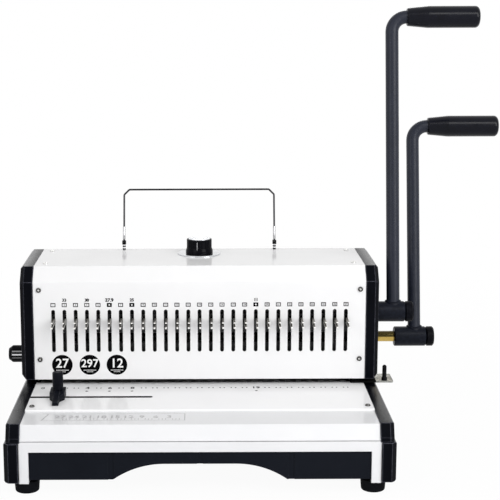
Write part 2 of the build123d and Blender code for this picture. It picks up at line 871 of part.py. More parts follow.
def punch_racks():
    """Two racks that stand on the punch bar and mesh with the shaft's gears."""
    z_from = punch_bar_low_z + punch_bar_height
    z_to = punch_axis_z + punch_travel + rack_spare
    xs = (rack_x - rack_width / 2, rack_x + rack_width / 2)
    pitch_y = punch_axis_y - punch_pitch_r
    return pair(rack(pitch_y, z_from, z_to, punch_axis_z, rack_back, xs[0], xs[1]))


def gear_pair(teeth, x, y, z, width, bore):
    """Two like gears on one shaft."""
    return [Pos(side * x, y, z) * gear(teeth, width, bore) for side in (-1, 1)]


def lever_post(post_x, grip_end_x, length):
    """Round bar with one bend, upright on the origin's X axis, cut to sit on its hub."""
    path = FilletPolyline(
        (post_x, 0, 0),
        (post_x, 0, length),
        (grip_end_x - grip_end_wall, 0, length),
        radius=bar_bend,
    )
    post = sweep(Pos(post_x, 0, 0) * Circle(bar_dia / 2), path=path)
    return post - rod_x((post_x - hub_dia, post_x + hub_dia), 0, 0, hub_dia)


def lever_grip(start_x, end_x, length):
    """Moulded grip: a taper at the neck, a straight barrel and a rounded end."""
    neck, full = grip_neck_dia / 2, grip_dia / 2
    profile = outline([
        (start_x, 0),
        (start_x, neck),
        (start_x + grip_taper_length, full),
        (end_x, full),
        (end_x, 0),
    ])
    grip = revolve(Plane.XZ * profile, axis=Axis.X)
    rims = grip.edges().filter_by(GeomType.CIRCLE).sort_by(Axis.X)
    grip = fillet(rims[-1], grip_end_round)
    rims = grip.edges().filter_by(GeomType.CIRCLE).sort_by(Axis.X)
    grip = fillet(rims[0], grip_neck_round)
    bore = rod_x((start_x - overrun, end_x - grip_end_wall + running_gap), 0, 0, bar_dia + 2 * running_gap)
    return Pos(0, 0, length) * (grip - bore)


def lever_hub(x_from, x_to, shaft_dia):
    """Steel hub on its shaft."""
    hub = rod_x((x_from, x_to), 0, 0, hub_dia)
    hub = chamfer(hub.edges().filter_by(GeomType.CIRCLE), hub_chamfer)
    return hub - rod_x((x_from - overrun, x_to + overrun), 0, 0, shaft_dia + 2 * running_gap)


def lever_collar(x_from, x_to, shaft_dia):
    """Collar that keeps the hub on its shaft, with a set screw's hole."""
    collar = rod_x((x_from, x_to), 0, 0, hub_dia)
    collar = chamfer(collar.edges().filter_by(GeomType.CIRCLE), collar_chamfer)
    collar -= rod_x((x_from - overrun, x_to + overrun), 0, 0, shaft_dia + 2 * running_gap)
    middle = (x_from + x_to) / 2
    return collar - rod_z(middle, 0, (shaft_dia / 2, hub_dia), screw_dia)


def placed(piece, y, z, lean):
    """A lever's piece on its axis, leaning back."""
    return Pos(0, y, z) * Rot(-lean, 0, 0) * piece


def hook_bar():
    """Flat bar behind the front panel that carries the hooks."""
    xs = (-hook_bar_half_length, hook_bar_half_length)
    ys = (hook_bar_front_y, hook_bar_front_y + hook_bar_depth)
    return bar(xs, ys, (hook_bar_low_z, hook_bar_low_z + hook_bar_height))


def hook():
    """One flat hook at X = 0, with a mouth for the wire and its lower lip the longer."""
    high_z = hook_low_z + hook_height
    mouth_high_z = high_z - hook_upper_lip
    mouth_low_z = mouth_high_z - hook_mouth_height
    face = outline([
        (hook_bar_front_y, hook_low_z),
        (hook_bar_front_y, high_z),
        (-hook_upper_reach, high_z),
        (-hook_upper_reach, mouth_low_z),
        (-hook_lower_reach, mouth_low_z),
        (-hook_lower_reach, hook_low_z),
    ])
    plate = side_slab(face, -hook_thick / 2, hook_thick / 2)
    edges = plate.edges().filter_by(Axis.X).group_by(Axis.Y)
    plate = fillet(edges[0] + edges[1].sort_by(Axis.Z)[-1:], hook_nose_round)
    half_x = hook_thick / 2 + overrun
    inner_y = -hook_mouth_rear - hook_mouth_height / 2
    mouth = bar((-half_x, half_x), (-hook_upper_reach - overrun, inner_y), (mouth_low_z, mouth_high_z))
    mouth += rod_x((-half_x, half_x), inner_y, (mouth_low_z + mouth_high_z) / 2, hook_mouth_height)
    return plate - mouth


def binding_hooks():
    """A hook for each slot."""
    one = hook()
    return [Pos(x + hook_shift_x, 0, 0) * one for x in slot_xs]


def hook_racks():
    """Two arms from the hook bar under the punch shaft, each ending in a rack for its gear."""
    xs = (arm_x - arm_width / 2, arm_x + arm_width / 2)
    rack_xs = (arm_x - hook_rack_width / 2, arm_x + hook_rack_width / 2)
    arm = bar(xs, (hook_bar_front_y + hook_bar_depth, hook_rack_front_y),
              (hook_bar_low_z, hook_bar_low_z + arm_height))
    z_from = binding_axis_z - rack_spare
    z_to = binding_axis_z + hook_travel + rack_spare
    pitch_y = binding_axis_y - binding_pitch_r
    arm += rack(pitch_y, z_from, z_to, binding_axis_z, hook_rack_back, rack_xs[0], rack_xs[1])
    return pair(arm)


def carriage_rails():
    """Rails on the side plates that guide the hook racks."""
    inner_x = arm_x + hook_rack_width / 2 + seat_gap
    zs = (rail_low_z, rail_low_z + rail_height)
    rail = bar((inner_x, plate_in_x), (rail_front_y, rail_rear_y), zs)
    lip_y = hook_rack_front_y - seat_gap
    rail += bar((plate_in_x - rail_lip_inset, plate_in_x), (rail_front_y, lip_y), zs)
    return pair(rail)


def fluted_knob(dia, height, flute_count, flute_dia, taper, slope):
    """A knob that stands on Z = 0 with flutes round its side and a tapered upper end."""
    knob = Cylinder(dia / 2, height, align=(Align.CENTER, Align.CENTER, Align.MIN))
    rim = knob.edges().group_by(Axis.Z)[-1]
    knob = chamfer(rim, taper, slope, reference=knob.faces().filter_by(GeomType.CYLINDER)[0])
    for index in range(flute_count):
        turn = 360 * index / flute_count
        knob -= Rot(0, 0, turn) * rod_z(dia / 2 + flute_dia / 4, 0, (-overrun, height + overrun), flute_dia)
    return knob


def size_knob():
    """Black fluted knob with a wider skirt."""
    rim = size_flute_dia / 4
    body = fluted_knob(size_knob_dia, size_skirt_height + size_knob_height, size_flute_count, size_flute_dia, rim, rim)
    skirt = Cylinder(size_skirt_dia / 2, size_skirt_height, align=(Align.CENTER, Align.CENTER, Align.MIN))
    edge = skirt.edges().group_by(Axis.Z)[-1]
    width = (size_skirt_dia - size_knob_dia) / 2
    skirt = chamfer(edge, size_skirt_slope, width, reference=skirt.faces().filter_by(GeomType.CYLINDER)[0])
    knob = body + skirt
    top = size_skirt_height + size_knob_height
    knob -= rod_z(0, 0, (top - size_cap_thick / 2, top + overrun), size_cap_dia + 2 * running_gap)
    knob -= rod_z(0, 0, (-overrun, top / 2), spindle_dia + 2 * running_gap)
    return Pos(0, size_knob_y, knob_low_z) * knob


def size_knob_cap():
    """Silver cap let into the top of the knob."""
    low = size_skirt_height + size_knob_height - size_cap_thick / 2
    cap = rod_z(0, 0, (low, low + size_cap_thick), size_cap_dia)
    cap = fillet(cap.edges().group_by(Axis.Z)[-1], size_cap_thick / 3)
    return Pos(0, size_knob_y, knob_low_z) * cap


def size_spindle():
    """Spindle from the knob down through the bearing to the stepped cam."""
    top = knob_low_z + (size_skirt_height + size_knob_height) / 2
    return rod_z(0, size_knob_y, (stop_low_z, top), spindle_dia)


def dial_ring():
    """Flat bright ring on the top, round the knob."""
    ring = rod_z(0, size_knob_y, (top_z, top_z + dial_ring_thick), dial_ring_dia)
    ring = chamfer(ring.edges().group_by(Axis.Z)[-1], dial_ring_thick / 2)
    reach = (top_z - overrun, top_z + dial_ring_thick + overrun)
    return ring - rod_z(0, size_knob_y, reach, spindle_dia + 2 * screw_gap)


def stop_bracket():
    """Bearing block under the top that holds the spindle upright."""
    high = top_z - sheet_thick
    low = high - bearing_height
    ys = (size_knob_y - bearing_depth / 2, size_knob_y + bearing_depth / 2)
    block = bar((-bearing_half_width, bearing_half_width), ys, (low, high))
    return block - rod_z(0, size_knob_y, (low - overrun, high + overrun), spindle_dia + 2 * running_gap)


def closing_stop():
    """Cam on the spindle whose lower face climbs in steps, one for each wire size."""
    cam = rod_z(0, 0, (stop_low_z, stop_high_z), stop_dia)
    step_angle = 360 / stop_step_count
    finger_angle = degrees(atan2(binding_axis_y - size_knob_y, stop_finger_x))
    rest_step = size_turn_angle / step_angle
    reach = stop_dia
    for step in range(1, stop_step_count):
        middle = finger_angle + (step - rest_step) * step_angle
        ends = [radians(middle + side * step_angle / 2) for side in (-1, 1)]
        face = outline([(0, 0)] + [(reach * cos(end), reach * sin(end)) for end in ends])
        wedge = extrude(face, amount=overrun + step * stop_step_rise)
        cam -= Pos(0, 0, stop_low_z - overrun) * wedge
    cam -= rod_z(0, 0, (stop_low_z - overrun, stop_high_z + overrun), spindle_dia + 2 * running_gap)
    return Pos(0, size_knob_y, 0) * cam


def stop_finger():
    """Ring on the binding shaft with the finger that meets the cam's steps."""
    half = stop_finger_width / 2
    half_ring = stop_ring_width / 2
    ring = rod_x((-half_ring, half_ring), 0, 0, stop_ring_dia)
    finger = bar((-half, half), (-stop_finger_thick / 2, stop_finger_thick / 2), (0, stop_finger_length))
    tip = finger.edges().filter_by(Axis.X).group_by(Axis.Z)[-1]
    finger = fillet(tip, stop_finger_thick / 3)
    piece = ring + Rot(-binding_turn_angle, 0, 0) * finger
    piece -= rod_x((-half_ring - overrun, half_ring + overrun), 0, 0, binding_shaft_dia + 2 * running_gap)
    return Pos(stop_finger_x, binding_axis_y, binding_axis_z) * piece


def gauge_cam():
    """Heart-shaped cam about X that moves the back gauge by its travel in half a turn."""
    points = []
    steps = 24
    for index in range(-steps, steps):
        angle = pi * index / steps
        radius = cam_reach - gauge_travel * (1 - abs(index) / steps)
        points.append((radius * cos(angle), radius * sin(angle)))
    return side_slab(outline(points), -cam_width / 2, cam_width / 2)


def gauge_cam_rod():
    """Rod across the machine with its two cams."""
    knob_in = cover_out_x + seat_gap
    rod = rod_x((-knob_in - margin_knob_out / 2, plate_out_x), margin_axis_y, margin_axis_z, margin_rod_dia)
    for side in (-1, 1):
        rod += Pos(side * cam_x, margin_axis_y, margin_axis_z) * gauge_cam()
    return rod


def margin_knob():
    """Fluted knob on the left that sets the depth of the margin."""
    knob = fluted_knob(margin_knob_dia, margin_knob_out, margin_flute_count, margin_flute_dia,
                       margin_knob_taper, margin_knob_slope)
    knob -= rod_z(0, 0, (-overrun, margin_knob_out / 2 + running_gap), margin_rod_dia + 2 * running_gap)
    return Pos(-cover_out_x - seat_gap, margin_axis_y, margin_axis_z) * Rot(0, -90, 0) * knob


def back_gauge():
    """Plate at the back of the throat that the paper's edge stops against."""
    zs = (guide_low_z, gauge_top_z)
    plate = bar((-gauge_half_length, gauge_half_length), (gauge_y, gauge_y + gauge_thick), zs)
    for side in (-1, 1):
        plate -= rod_y(side * gauge_pin_x, (gauge_y - overrun, gauge_y + gauge_thick + overrun),
                       stripper_low_z + stripper_height / 2, gauge_pin_dia + 2 * slide_gap)
    return plate


def paper_guide():
    """Sliding stop for the paper's edge: a shoulder that narrows to a nose, on a shank."""
    half, nose = guide_width / 2, guide_nose_width / 2
    plan = outline([
        (-half, guide_rear_depth),
        (half, guide_rear_depth),
        (half, -guide_shoulder_depth),
        (nose, -guide_shoulder_depth - guide_width / 2),
        (nose, -guide_nose_depth),
        (-nose, -guide_nose_depth),
        (-nose, -guide_shoulder_depth - guide_width / 2),
        (-half, -guide_shoulder_depth),
    ])
    body = extrude(plan, amount=guide_height)
    side = outline([
        (guide_rear_depth, 0),
        (guide_rear_depth, guide_height),
        (-guide_shoulder_depth, guide_height - guide_rib_height),
        (-guide_nose_depth, guide_nose_height - guide_rib_height),
        (-guide_nose_depth, 0),
    ])
    body = body & side_slab(side, -guide_width, guide_width)
    rib_side = outline([
        (guide_rear_depth, 0),
        (guide_rear_depth, guide_height),
        (-guide_shoulder_depth, guide_height),
        (-guide_nose_depth, guide_nose_height),
        (-guide_nose_depth, 0),
    ])
    body += side_slab(rib_side, -guide_rib_width / 2, guide_rib_width / 2)
    half_shank = guide_shank_length / 2
    half_slot = guide_slot_width / 2 - seat_gap
    shank_low = table_low_z - seat_gap - guide_low_z
    body += bar((-half_shank, half_shank), (-half_slot, half_slot), (shank_low, guide_height / 2))
    body -= rod_z(0, 0, (shank_low - overrun, guide_height + overrun), guide_stem_dia + 2 * running_gap)
    return Pos(guide_x, guide_slot_y, guide_low_z) * body


def guide_nut():
    """Clamp plate below the table that the guide's knob pulls up."""
    high = table_low_z - seat_gap
    half = guide_nut_side / 2
    plate = bar((-half, half), (-half, half), (high - guide_nut_thick, high))
    plate -= rod_z(0, 0, (high - guide_nut_thick - overrun, high + overrun), guide_stem_dia + 2 * running_gap)
    return Pos(guide_x, guide_slot_y, 0) * plate


def guide_knob():
    """Round knob on the guide, with the screw that clamps it to the table."""
    low = guide_height + seat_gap
    knob = rod_z(0, 0, (low, low + guide_knob_height), guide_knob_dia)
    knob = fillet(knob.edges().group_by(Axis.Z)[-1], guide_knob_dia / 8)
    stem_low = table_low_z - seat_gap - guide_nut_thick - guide_low_z
    knob += rod_z(0, 0, (stem_low, low), guide_stem_dia)
    return Pos(guide_x, guide_slot_y, guide_low_z) * knob


def side_stop_plate():
    """Zinc plate that slides in the right end of the throat."""
    ys = (stop_plate_front_y, stop_plate_front_y + stop_plate_depth)
    zs = (stop_plate_low_z, stop_plate_low_z + stop_plate_thick)
    plate = bar((stop_plate_in_x, stop_plate_out_x), ys, zs)
    plate = fillet(plate.edges().filter_by(Axis.Z), stop_plate_corner)
    reach = (zs[0] - overrun, zs[1] + overrun)
    return plate - rod_z(stop_pin_x, stop_pin_y, reach, stop_pin_dia / 2 + 2 * running_gap)


def side_stop_pin():
    """Finger pin of the side stop, with a foot and a domed top."""
    low = stop_plate_low_z + stop_plate_thick
    pin = rod_z(stop_pin_x, stop_pin_y, (low, low + stop_pin_height), stop_pin_dia)
    pin = fillet(pin.edges().group_by(Axis.Z)[-1], stop_pin_dia / 2 - running_gap)
    pin += rod_z(stop_pin_x, stop_pin_y, (low, low + stop_pin_foot_height), stop_pin_foot_dia)
    return pin + rod_z(stop_pin_x, stop_pin_y, (stop_plate_low_z, low + overrun), stop_pin_dia / 2)


def wire_bail():
    """Bent wire with cut corners and an eye at each foot, upright on the origin's X axis."""
    inner = bail_half_width - bail_corner
    rise = bail_length - bail_corner
    foot_z = (bail_eye_dia + bail_pin_dia) / 4
    wire_path = FilletPolyline(
        (-bail_half_width, 0, foot_z),
        (-bail_half_width, 0, rise),
        (-inner, 0, bail_length),
        (inner, 0, bail_length),
        (bail_half_width, 0, rise),
        (bail_half_width, 0, foot_z),
        radius=bail_bend,
    )
    wire = sweep(Pos(-bail_half_width, 0, foot_z) * Circle(bail_wire_dia / 2), path=wire_path)
    for side in (-1, 1):
        half = bail_eye_thick / 2
        xs = (side * bail_half_width - half, side * bail_half_width + half)
        wire += rod_x(xs, 0, 0, bail_eye_dia)
    for side in (-1, 1):
        xs = (side * bail_half_width - bail_eye_dia, side * bail_half_width + bail_eye_dia)
        wire -= rod_x(xs, 0, 0, bail_pin_dia + 2 * running_gap)
    return placed(wire, bail_y, bail_pivot_z, bail_lean_angle)


def bail_socket():
    """Ribbed post on the top with a forked head and the pin of the bail, at X = 0."""
    post = rod_z(0, 0, (0, bail_pivot_rise), socket_dia)
    step = (bail_pivot_rise - socket_head_height / 2) / 2
    for index in range(2):
        low = step * index
        post += rod_z(0, 0, (low, low + socket_rib_height), socket_rib_dia)
    half_x, half_y = socket_head_width / 2, socket_head_depth / 2
    head_low = bail_pivot_rise - socket_head_height / 2
    head_high = bail_pivot_rise + socket_head_height / 2
    head = bar((-half_x, half_x), (-half_y, half_y), (head_low, head_high))
    head = fillet(head.edges().filter_by(Axis.Z), socket_rib_height / 2)
    slot_half = bail_wire_dia / 2 + slide_gap
    room = bail_eye_dia / 2 + slide_gap
    slot = bar((-slot_half, slot_half), (-half_y - overrun, 0), (-room, socket_head_height))
    slot += rod_x((-slot_half, slot_half), 0, 0, 2 * room)
    leg_half = bail_wire_dia / 2 + slide_gap
    leaning = bar((-slot_half, slot_half), (-leg_half, leg_half), (0, socket_head_height))
    slot += Rot(-bail_lean_angle, 0, 0) * leaning
    post = post + head - Pos(0, 0, bail_pivot_rise) * slot
    return post + rod_x((-half_x, half_x), 0, bail_pivot_rise, bail_pin_dia)


def bail_sockets():
    """The two posts of the bail."""
    one = bail_socket()
    return [Pos(side * bail_half_width, bail_y, top_z) * one for side in (-1, 1)]


def drawer_front():
    """Moulded drawer front with the finger arch and three shallow upright grooves."""
    ys = (drawer_front_y, drawer_front_y + drawer_front_thick)
    front = bar((-drawer_half_width, drawer_half_width), ys, (drawer_low_z, drawer_top_z))
    run = arch_foot_half_width - arch_flat_half_width
    rise = arch_top_z - drawer_low_z
    arch_r = (run * run + rise * rise) / (2 * rise)
    sweep_angle = degrees(asin(run / arch_r))
    centre_z = arch_top_z - arch_r
    right = CenterArc((arch_flat_half_width, centre_z), arch_r, 90 - sweep_angle, sweep_angle)
    left = CenterArc((-arch_flat_half_width, centre_z), arch_r, 90, sweep_angle)
    flat = Line((arch_flat_half_width, arch_top_z), (-arch_flat_half_width, arch_top_z))
    low_z = drawer_low_z - overrun
    foot_right = Line((arch_foot_half_width, low_z), (arch_foot_half_width, drawer_low_z))
    foot_left = Line((-arch_foot_half_width, drawer_low_z), (-arch_foot_half_width, low_z))
    base = Line((-arch_foot_half_width, low_z), (arch_foot_half_width, low_z))
    arch = make_face(Curve() + [foot_right, right, flat, left, foot_left, base])
    front -= front_slab(arch, ys[1] + overrun, ys[0] - overrun)
    for x in front_groove_xs:
        half = front_groove_width / 2
        front -= bar((x - half, x + half), (ys[0] - overrun, ys[0] + front_groove_depth),
                     (drawer_low_z - overrun, drawer_top_z + overrun))
    return front


def drawer_tray():
    """Tray for the chips: deep under the die, shallow above the finger arch."""
    front_y = drawer_front_y + drawer_front_thick
    xs = (-tray_half_width, tray_half_width)
    tray = bar(xs, (tray_step_y, tray_rear_y), (tray_low_z, tray_top_z))
    tray += bar(xs, (front_y, tray_step_y + tray_wall), (tray_step_z, tray_top_z))
    inner = (-tray_half_width + tray_wall, tray_half_width - tray_wall)
    tray -= bar(inner, (tray_step_y + tray_wall, tray_rear_y - tray_wall),
                (tray_low_z + tray_wall, tray_top_z + overrun))
    tray -= bar(inner, (front_y + tray_wall, tray_step_y + 2 * tray_wall),
                (tray_step_z + tray_wall, tray_top_z + overrun))
    return tray


def drawer_rails():
    """Two angle rails on the pan that the tray slides on."""
    ys = (plate_front_y, tray_rear_y)
    inner_x = tray_half_width + seat_gap
    rail = bar((tray_half_width - tray_rail_width, inner_x), ys, (pan_top_z, tray_low_z - seat_gap))
    rail += bar((inner_x, inner_x + tray_rail_wall), ys, (pan_top_z, pan_top_z + tray_rail_height))
    return pair(rail)


def foot_places():
    """Centres of the four feet."""
    return [(side * foot_x, y) for y in (foot_front_y, foot_rear_y) for side in (-1, 1)]


def rubber_foot():
    """Tapered rubber foot that stands on Z = 0, with a well for its screw."""
    face = outline([
        (foot_bore_dia / 2, 0),
        (foot_bottom_dia / 2, 0),
        (foot_top_dia / 2, leg_bottom_z),
        (0, leg_bottom_z),
        (0, foot_bore_depth),
        (foot_bore_dia / 2, foot_bore_depth),
    ])
    foot = revolve(Plane.XZ * face, axis=Axis.Z)
    rims = foot.edges().filter_by(GeomType.CIRCLE).group_by(Axis.Z)[0].sort_by(SortBy.RADIUS)
    foot = fillet(rims[-1], foot_round)
    return foot - rod_z(0, 0, (foot_bore_depth - overrun, leg_bottom_z + overrun),
                        foot_screw_dia + 2 * running_gap)


def foot_screw():
    """Screw of a foot, from the well up into the pan."""
    head = rod_z(0, 0, (foot_bore_depth - foot_screw_head_height, foot_bore_depth), foot_screw_head_dia)
    shank = rod_z(0, 0, (foot_bore_depth, pan_top_z), foot_screw_dia)
    arm = foot_screw_head_dia * recess_share
    cross = Box(arm, recess_width, recess_depth) + Box(recess_width, arm, recess_depth)
    low = foot_bore_depth - foot_screw_head_height
    return head + shank - Pos(0, 0, low + recess_depth / 2) * cross


def cover_screws():
    """Screws of the front panel, the top and the rear cover."""
    one = screw()
    group = []
    y_out = housing_depth - sheet_thick - seat_gap
    for side in (-1, 1):
        for z in panel_screw_zs:
            group.append(Pos(side * panel_screw_x, 0, z) * Rot(90, 0, 0) * one)
        for y in top_screw_ys:
            group.append(Pos(side * top_screw_x, y, top_z) * one)
        for z in rear_screw_zs:
            group.append(Pos(side * panel_screw_x, y_out, z) * Rot(-90, 0, 0) * one)
    return group


def table_screws():
    """The two screws through the ruler plate and the table."""
    return [Pos(side * table_screw_x, table_screw_y, ruler_top_z) * screw() for side in (-1, 1)]


def build_nodes():
    """Every node with its solids, in the housing's frame."""
    punch = (punch_axis_y, punch_axis_z, punch_lean_angle)
    binding = (binding_axis_y, binding_axis_z, binding_lean_angle)
    right_holes = [
        (punch_axis_y, punch_axis_z, punch_shaft_dia + 2 * seat_gap),
        (binding_axis_y, binding_axis_z, sleeve_dia + 2 * seat_gap),
    ]
    left_holes = [(margin_axis_y, margin_axis_z, margin_rod_dia + 2 * seat_gap)]
    plate = side_plate()
    cap = base_cap()
    shaft_left_x = -plate_out_x
    punch_shaft_xs = (shaft_left_x, punch_collar_end_x)
    binding_shaft_xs = (shaft_left_x, binding_collar_end_x)
    sleeve = rod_x((plate_out_x + seat_gap, binding_hub_start_x - seat_gap), 0, 0, sleeve_dia)
    sleeve -= rod_x((0, binding_hub_start_x + overrun), 0, 0, binding_shaft_dia + 2 * running_gap)
    nodes = {
        "base_pan": [base_pan()],
        "left_side_plate": [mirrored(plate)],
        "right_side_plate": [plate],
        "tie_rods": tie_rods(),
        "base_bezel": [base_bezel()],
        "table_cover": [table_cover()],
        "ruler_plate": [ruler_plate()],
        "housing_cover": [housing_cover()],
        "rear_cover": [rear_cover()],
        "left_side_cover": [mirrored(side_cover(left_holes))],
        "right_side_cover": [side_cover(right_holes)],
        "left_base_cap": [mirrored(cap)],
        "right_base_cap": [cap],
        "die_block": [die_block()],
        "stripper_bar": [stripper_bar()],
        "shaft_bushes": shaft_bushes(),
        "carriage_rails": carriage_rails(),
        "drawer_rails": drawer_rails(),
        "stop_bracket": [stop_bracket()],
        "dial_ring": [dial_ring()],
        "bail_sockets": bail_sockets(),
        "rubber_feet": [Pos(x, y, 0) * rubber_foot() for x, y in foot_places()],
        "foot_screws": [Pos(x, y, 0) * foot_screw() for x, y in foot_places()],
        "cover_screws": cover_screws(),
        "table_screws": table_screws(),
        "punch_bar": [punch_bar()],
        "punch_pins": punch_pins(),
        "punch_racks": punch_racks(),
        "punch_shaft": [rod_x(punch_shaft_xs, punch_axis_y, punch_axis_z, punch_shaft_dia)],
        "punch_gears": gear_pair(punch_teeth, rack_x, punch_axis_y, punch_axis_z, rack_width,
                                 punch_shaft_dia + 2 * running_gap),
        "punch_lever_hub": [placed(lever_hub(hub_start_x, punch_hub_end_x, punch_shaft_dia), *punch)],
        "punch_lever_collar": [placed(lever_collar(punch_hub_end_x + seat_gap, punch_collar_end_x,
                                                   punch_shaft_dia), *punch)],
        "punch_lever_post": [placed(lever_post(punch_post_x, punch_grip_end_x, punch_lever_length), *punch)],
        "punch_lever_grip": [placed(lever_grip(punch_grip_start_x, punch_grip_end_x,
                                               punch_lever_length), *punch)],
        "hook_bar": [hook_bar()],
        "binding_hooks": binding_hooks(),
        "hook_racks": hook_racks(),
        "binding_shaft": [rod_x(binding_shaft_xs, binding_axis_y, binding_axis_z, binding_shaft_dia)],
        "binding_gears": gear_pair(binding_teeth, arm_x, binding_axis_y, binding_axis_z, hook_rack_width,
                                   binding_shaft_dia + 2 * running_gap),
        "stop_finger": [stop_finger()],
        "brass_sleeve": [Pos(0, binding_axis_y, binding_axis_z) * sleeve],
        "binding_lever_hub": [placed(lever_hub(binding_hub_start_x, binding_hub_end_x,
                                               binding_shaft_dia), *binding)],
        "binding_lever_collar": [placed(lever_collar(binding_hub_end_x + seat_gap, binding_collar_end_x,
                                                     binding_shaft_dia), *binding)],
        "binding_lever_post": [placed(lever_post(binding_post_x, binding_grip_end_x,
                                                 binding_lever_length), *binding)],
        "binding_lever_grip": [placed(lever_grip(binding_grip_start_x, binding_grip_end_x,
                                                 binding_lever_length), *binding)],
        "size_knob": [size_knob()],
        "size_knob_cap": [size_knob_cap()],
        "size_spindle": [size_spindle()],
        "closing_stop": [closing_stop()],
        "margin_knob": [margin_knob()],
        "gauge_cam_rod": [gauge_cam_rod()],
        "back_gauge": [back_gauge()],
        "paper_guide": [paper_guide()],
        "guide_nut": [guide_nut()],
        "guide_knob": [guide_knob()],
        "side_stop_plate": [side_stop_plate()],
        "side_stop_pin": [side_stop_pin()],
        "wire_bail": [wire_bail()],
        "chip_drawer_front": [drawer_front()],
        "chip_drawer_tray": [drawer_tray()],
    }
    return nodes


def solids_of(pieces):
    """The plain solids of a node's pieces."""
    return [solid for piece in pieces for solid in piece.solids()]


def origin_shift(nodes):
    """The move that puts the origin at the bottom centre of the whole machine."""
    box = Compound(children=[Compound(children=solids_of(pieces)) for pieces in nodes.values()]).bounding_box()
    middle = box.center()
    return Pos(-middle.X, -middle.Y, -box.min.Z)


def write_parts():
    """Write one file for each node."""
    nodes = build_nodes()
    shift = origin_shift(nodes)
    os.makedirs("parts", exist_ok=True)
    for name, pieces in nodes.items():
        solids = [shift * solid for solid in solids_of(pieces)]
        shape = solids[0] if len(solids) == 1 else Compound(children=solids)
        export_step(shape, f"parts/{name}.step")
    print("nodes", len(nodes), "shift", shift.position)


write_parts()
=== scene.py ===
import json
from math import asin, cos, pi, radians, sin, sqrt

import bmesh
import bpy
from mathutils import Matrix, Vector


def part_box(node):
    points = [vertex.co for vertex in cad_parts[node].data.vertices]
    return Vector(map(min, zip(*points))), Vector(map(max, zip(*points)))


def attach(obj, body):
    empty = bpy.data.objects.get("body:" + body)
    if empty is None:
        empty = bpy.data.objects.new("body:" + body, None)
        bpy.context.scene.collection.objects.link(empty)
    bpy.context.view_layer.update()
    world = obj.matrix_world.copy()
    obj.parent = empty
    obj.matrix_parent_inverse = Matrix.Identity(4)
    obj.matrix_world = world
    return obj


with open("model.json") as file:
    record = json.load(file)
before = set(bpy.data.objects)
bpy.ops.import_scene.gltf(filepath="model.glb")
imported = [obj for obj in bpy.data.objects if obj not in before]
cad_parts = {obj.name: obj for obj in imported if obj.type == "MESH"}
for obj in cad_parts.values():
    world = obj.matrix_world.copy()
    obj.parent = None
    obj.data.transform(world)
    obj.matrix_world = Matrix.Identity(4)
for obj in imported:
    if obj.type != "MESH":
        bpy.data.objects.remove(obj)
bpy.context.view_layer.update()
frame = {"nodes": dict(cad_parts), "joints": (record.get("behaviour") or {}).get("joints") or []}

# ---- The room: a long lens in front of the machine and a little above it, a pale floor,
# and four soft lamps, the strongest on the lever side. The picture is the left part of what
# the lens saw, so the camera's frame is shifted and the machine stays left of its middle.
panel_low, panel_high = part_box("housing_cover")
middle_x = (panel_low.x + panel_high.x) / 2
panel_y = panel_low.y

camera_back = 1.473
camera_height = 0.507
camera_pitch = radians(10.5)
camera_roll = radians(-0.2)
picture_pixels = 500
lens_pixels = 1340
machine_pixel = 199.3
lens = bpy.data.cameras.new("photo_camera")
lens.sensor_width = 36
lens.lens = lens.sensor_width * lens_pixels / picture_pixels
lens.shift_x = (picture_pixels / 2 - machine_pixel) / picture_pixels
camera = bpy.data.objects.new("photo_camera", lens)
aim = Matrix.Rotation(pi / 2 - camera_pitch, 4, "X") @ Matrix.Rotation(camera_roll, 4, "Z")
camera.matrix_world = Matrix.Translation((middle_x, panel_y - camera_back, camera_height)) @ aim
bpy.context.scene.collection.objects.link(camera)
bpy.context.scene.camera = camera
bpy.context.scene.view_settings.view_transform = "Standard"


def node(tree, kind, **settings):
    """A shader node with its settings; a number or colour given by input name goes on its socket."""
    made = tree.nodes.new(kind)
    for key, value in settings.items():
        if hasattr(made, key):
            setattr(made, key, value)
        else:
            made.inputs[key.replace("_", " ")].default_value = value
    return made


def seen_by_eye(tree):
    """1 for rays from the camera and for what metal and glass mirror, else 0."""
    path = node(tree, "ShaderNodeLightPath")
    total = path.outputs["Is Camera Ray"]
    for ray in ("Is Glossy Ray", "Is Transmission Ray"):
        either = node(tree, "ShaderNodeMath", operation="MAXIMUM")
        tree.links.new(total, either.inputs[0])
        tree.links.new(path.outputs[ray], either.inputs[1])
        total = either.outputs[0]
    return total


sky_level = 0.62
sky_colour = (1, 0.997, 0.994, 1)
pure_white = (1, 1, 1, 1)
sky = bpy.data.worlds.new("plain_sky")
sky.use_nodes = True
bpy.context.scene.world = sky
sky_tree = sky.node_tree
soft = sky_tree.nodes["Background"]
soft.inputs["Color"].default_value = sky_colour
soft.inputs["Strength"].default_value = sky_level
white_sky = node(sky_tree, "ShaderNodeBackground", Color=pure_white, Strength=1.0)
either_sky = node(sky_tree, "ShaderNodeMixShader")
sky_tree.links.new(seen_by_eye(sky_tree), either_sky.inputs[0])
sky_tree.links.new(soft.outputs[0], either_sky.inputs[1])
sky_tree.links.new(white_sky.outputs[0], either_sky.inputs[2])
sky_tree.links.new(either_sky.outputs[0], sky_tree.nodes["World Output"].inputs["Surface"])

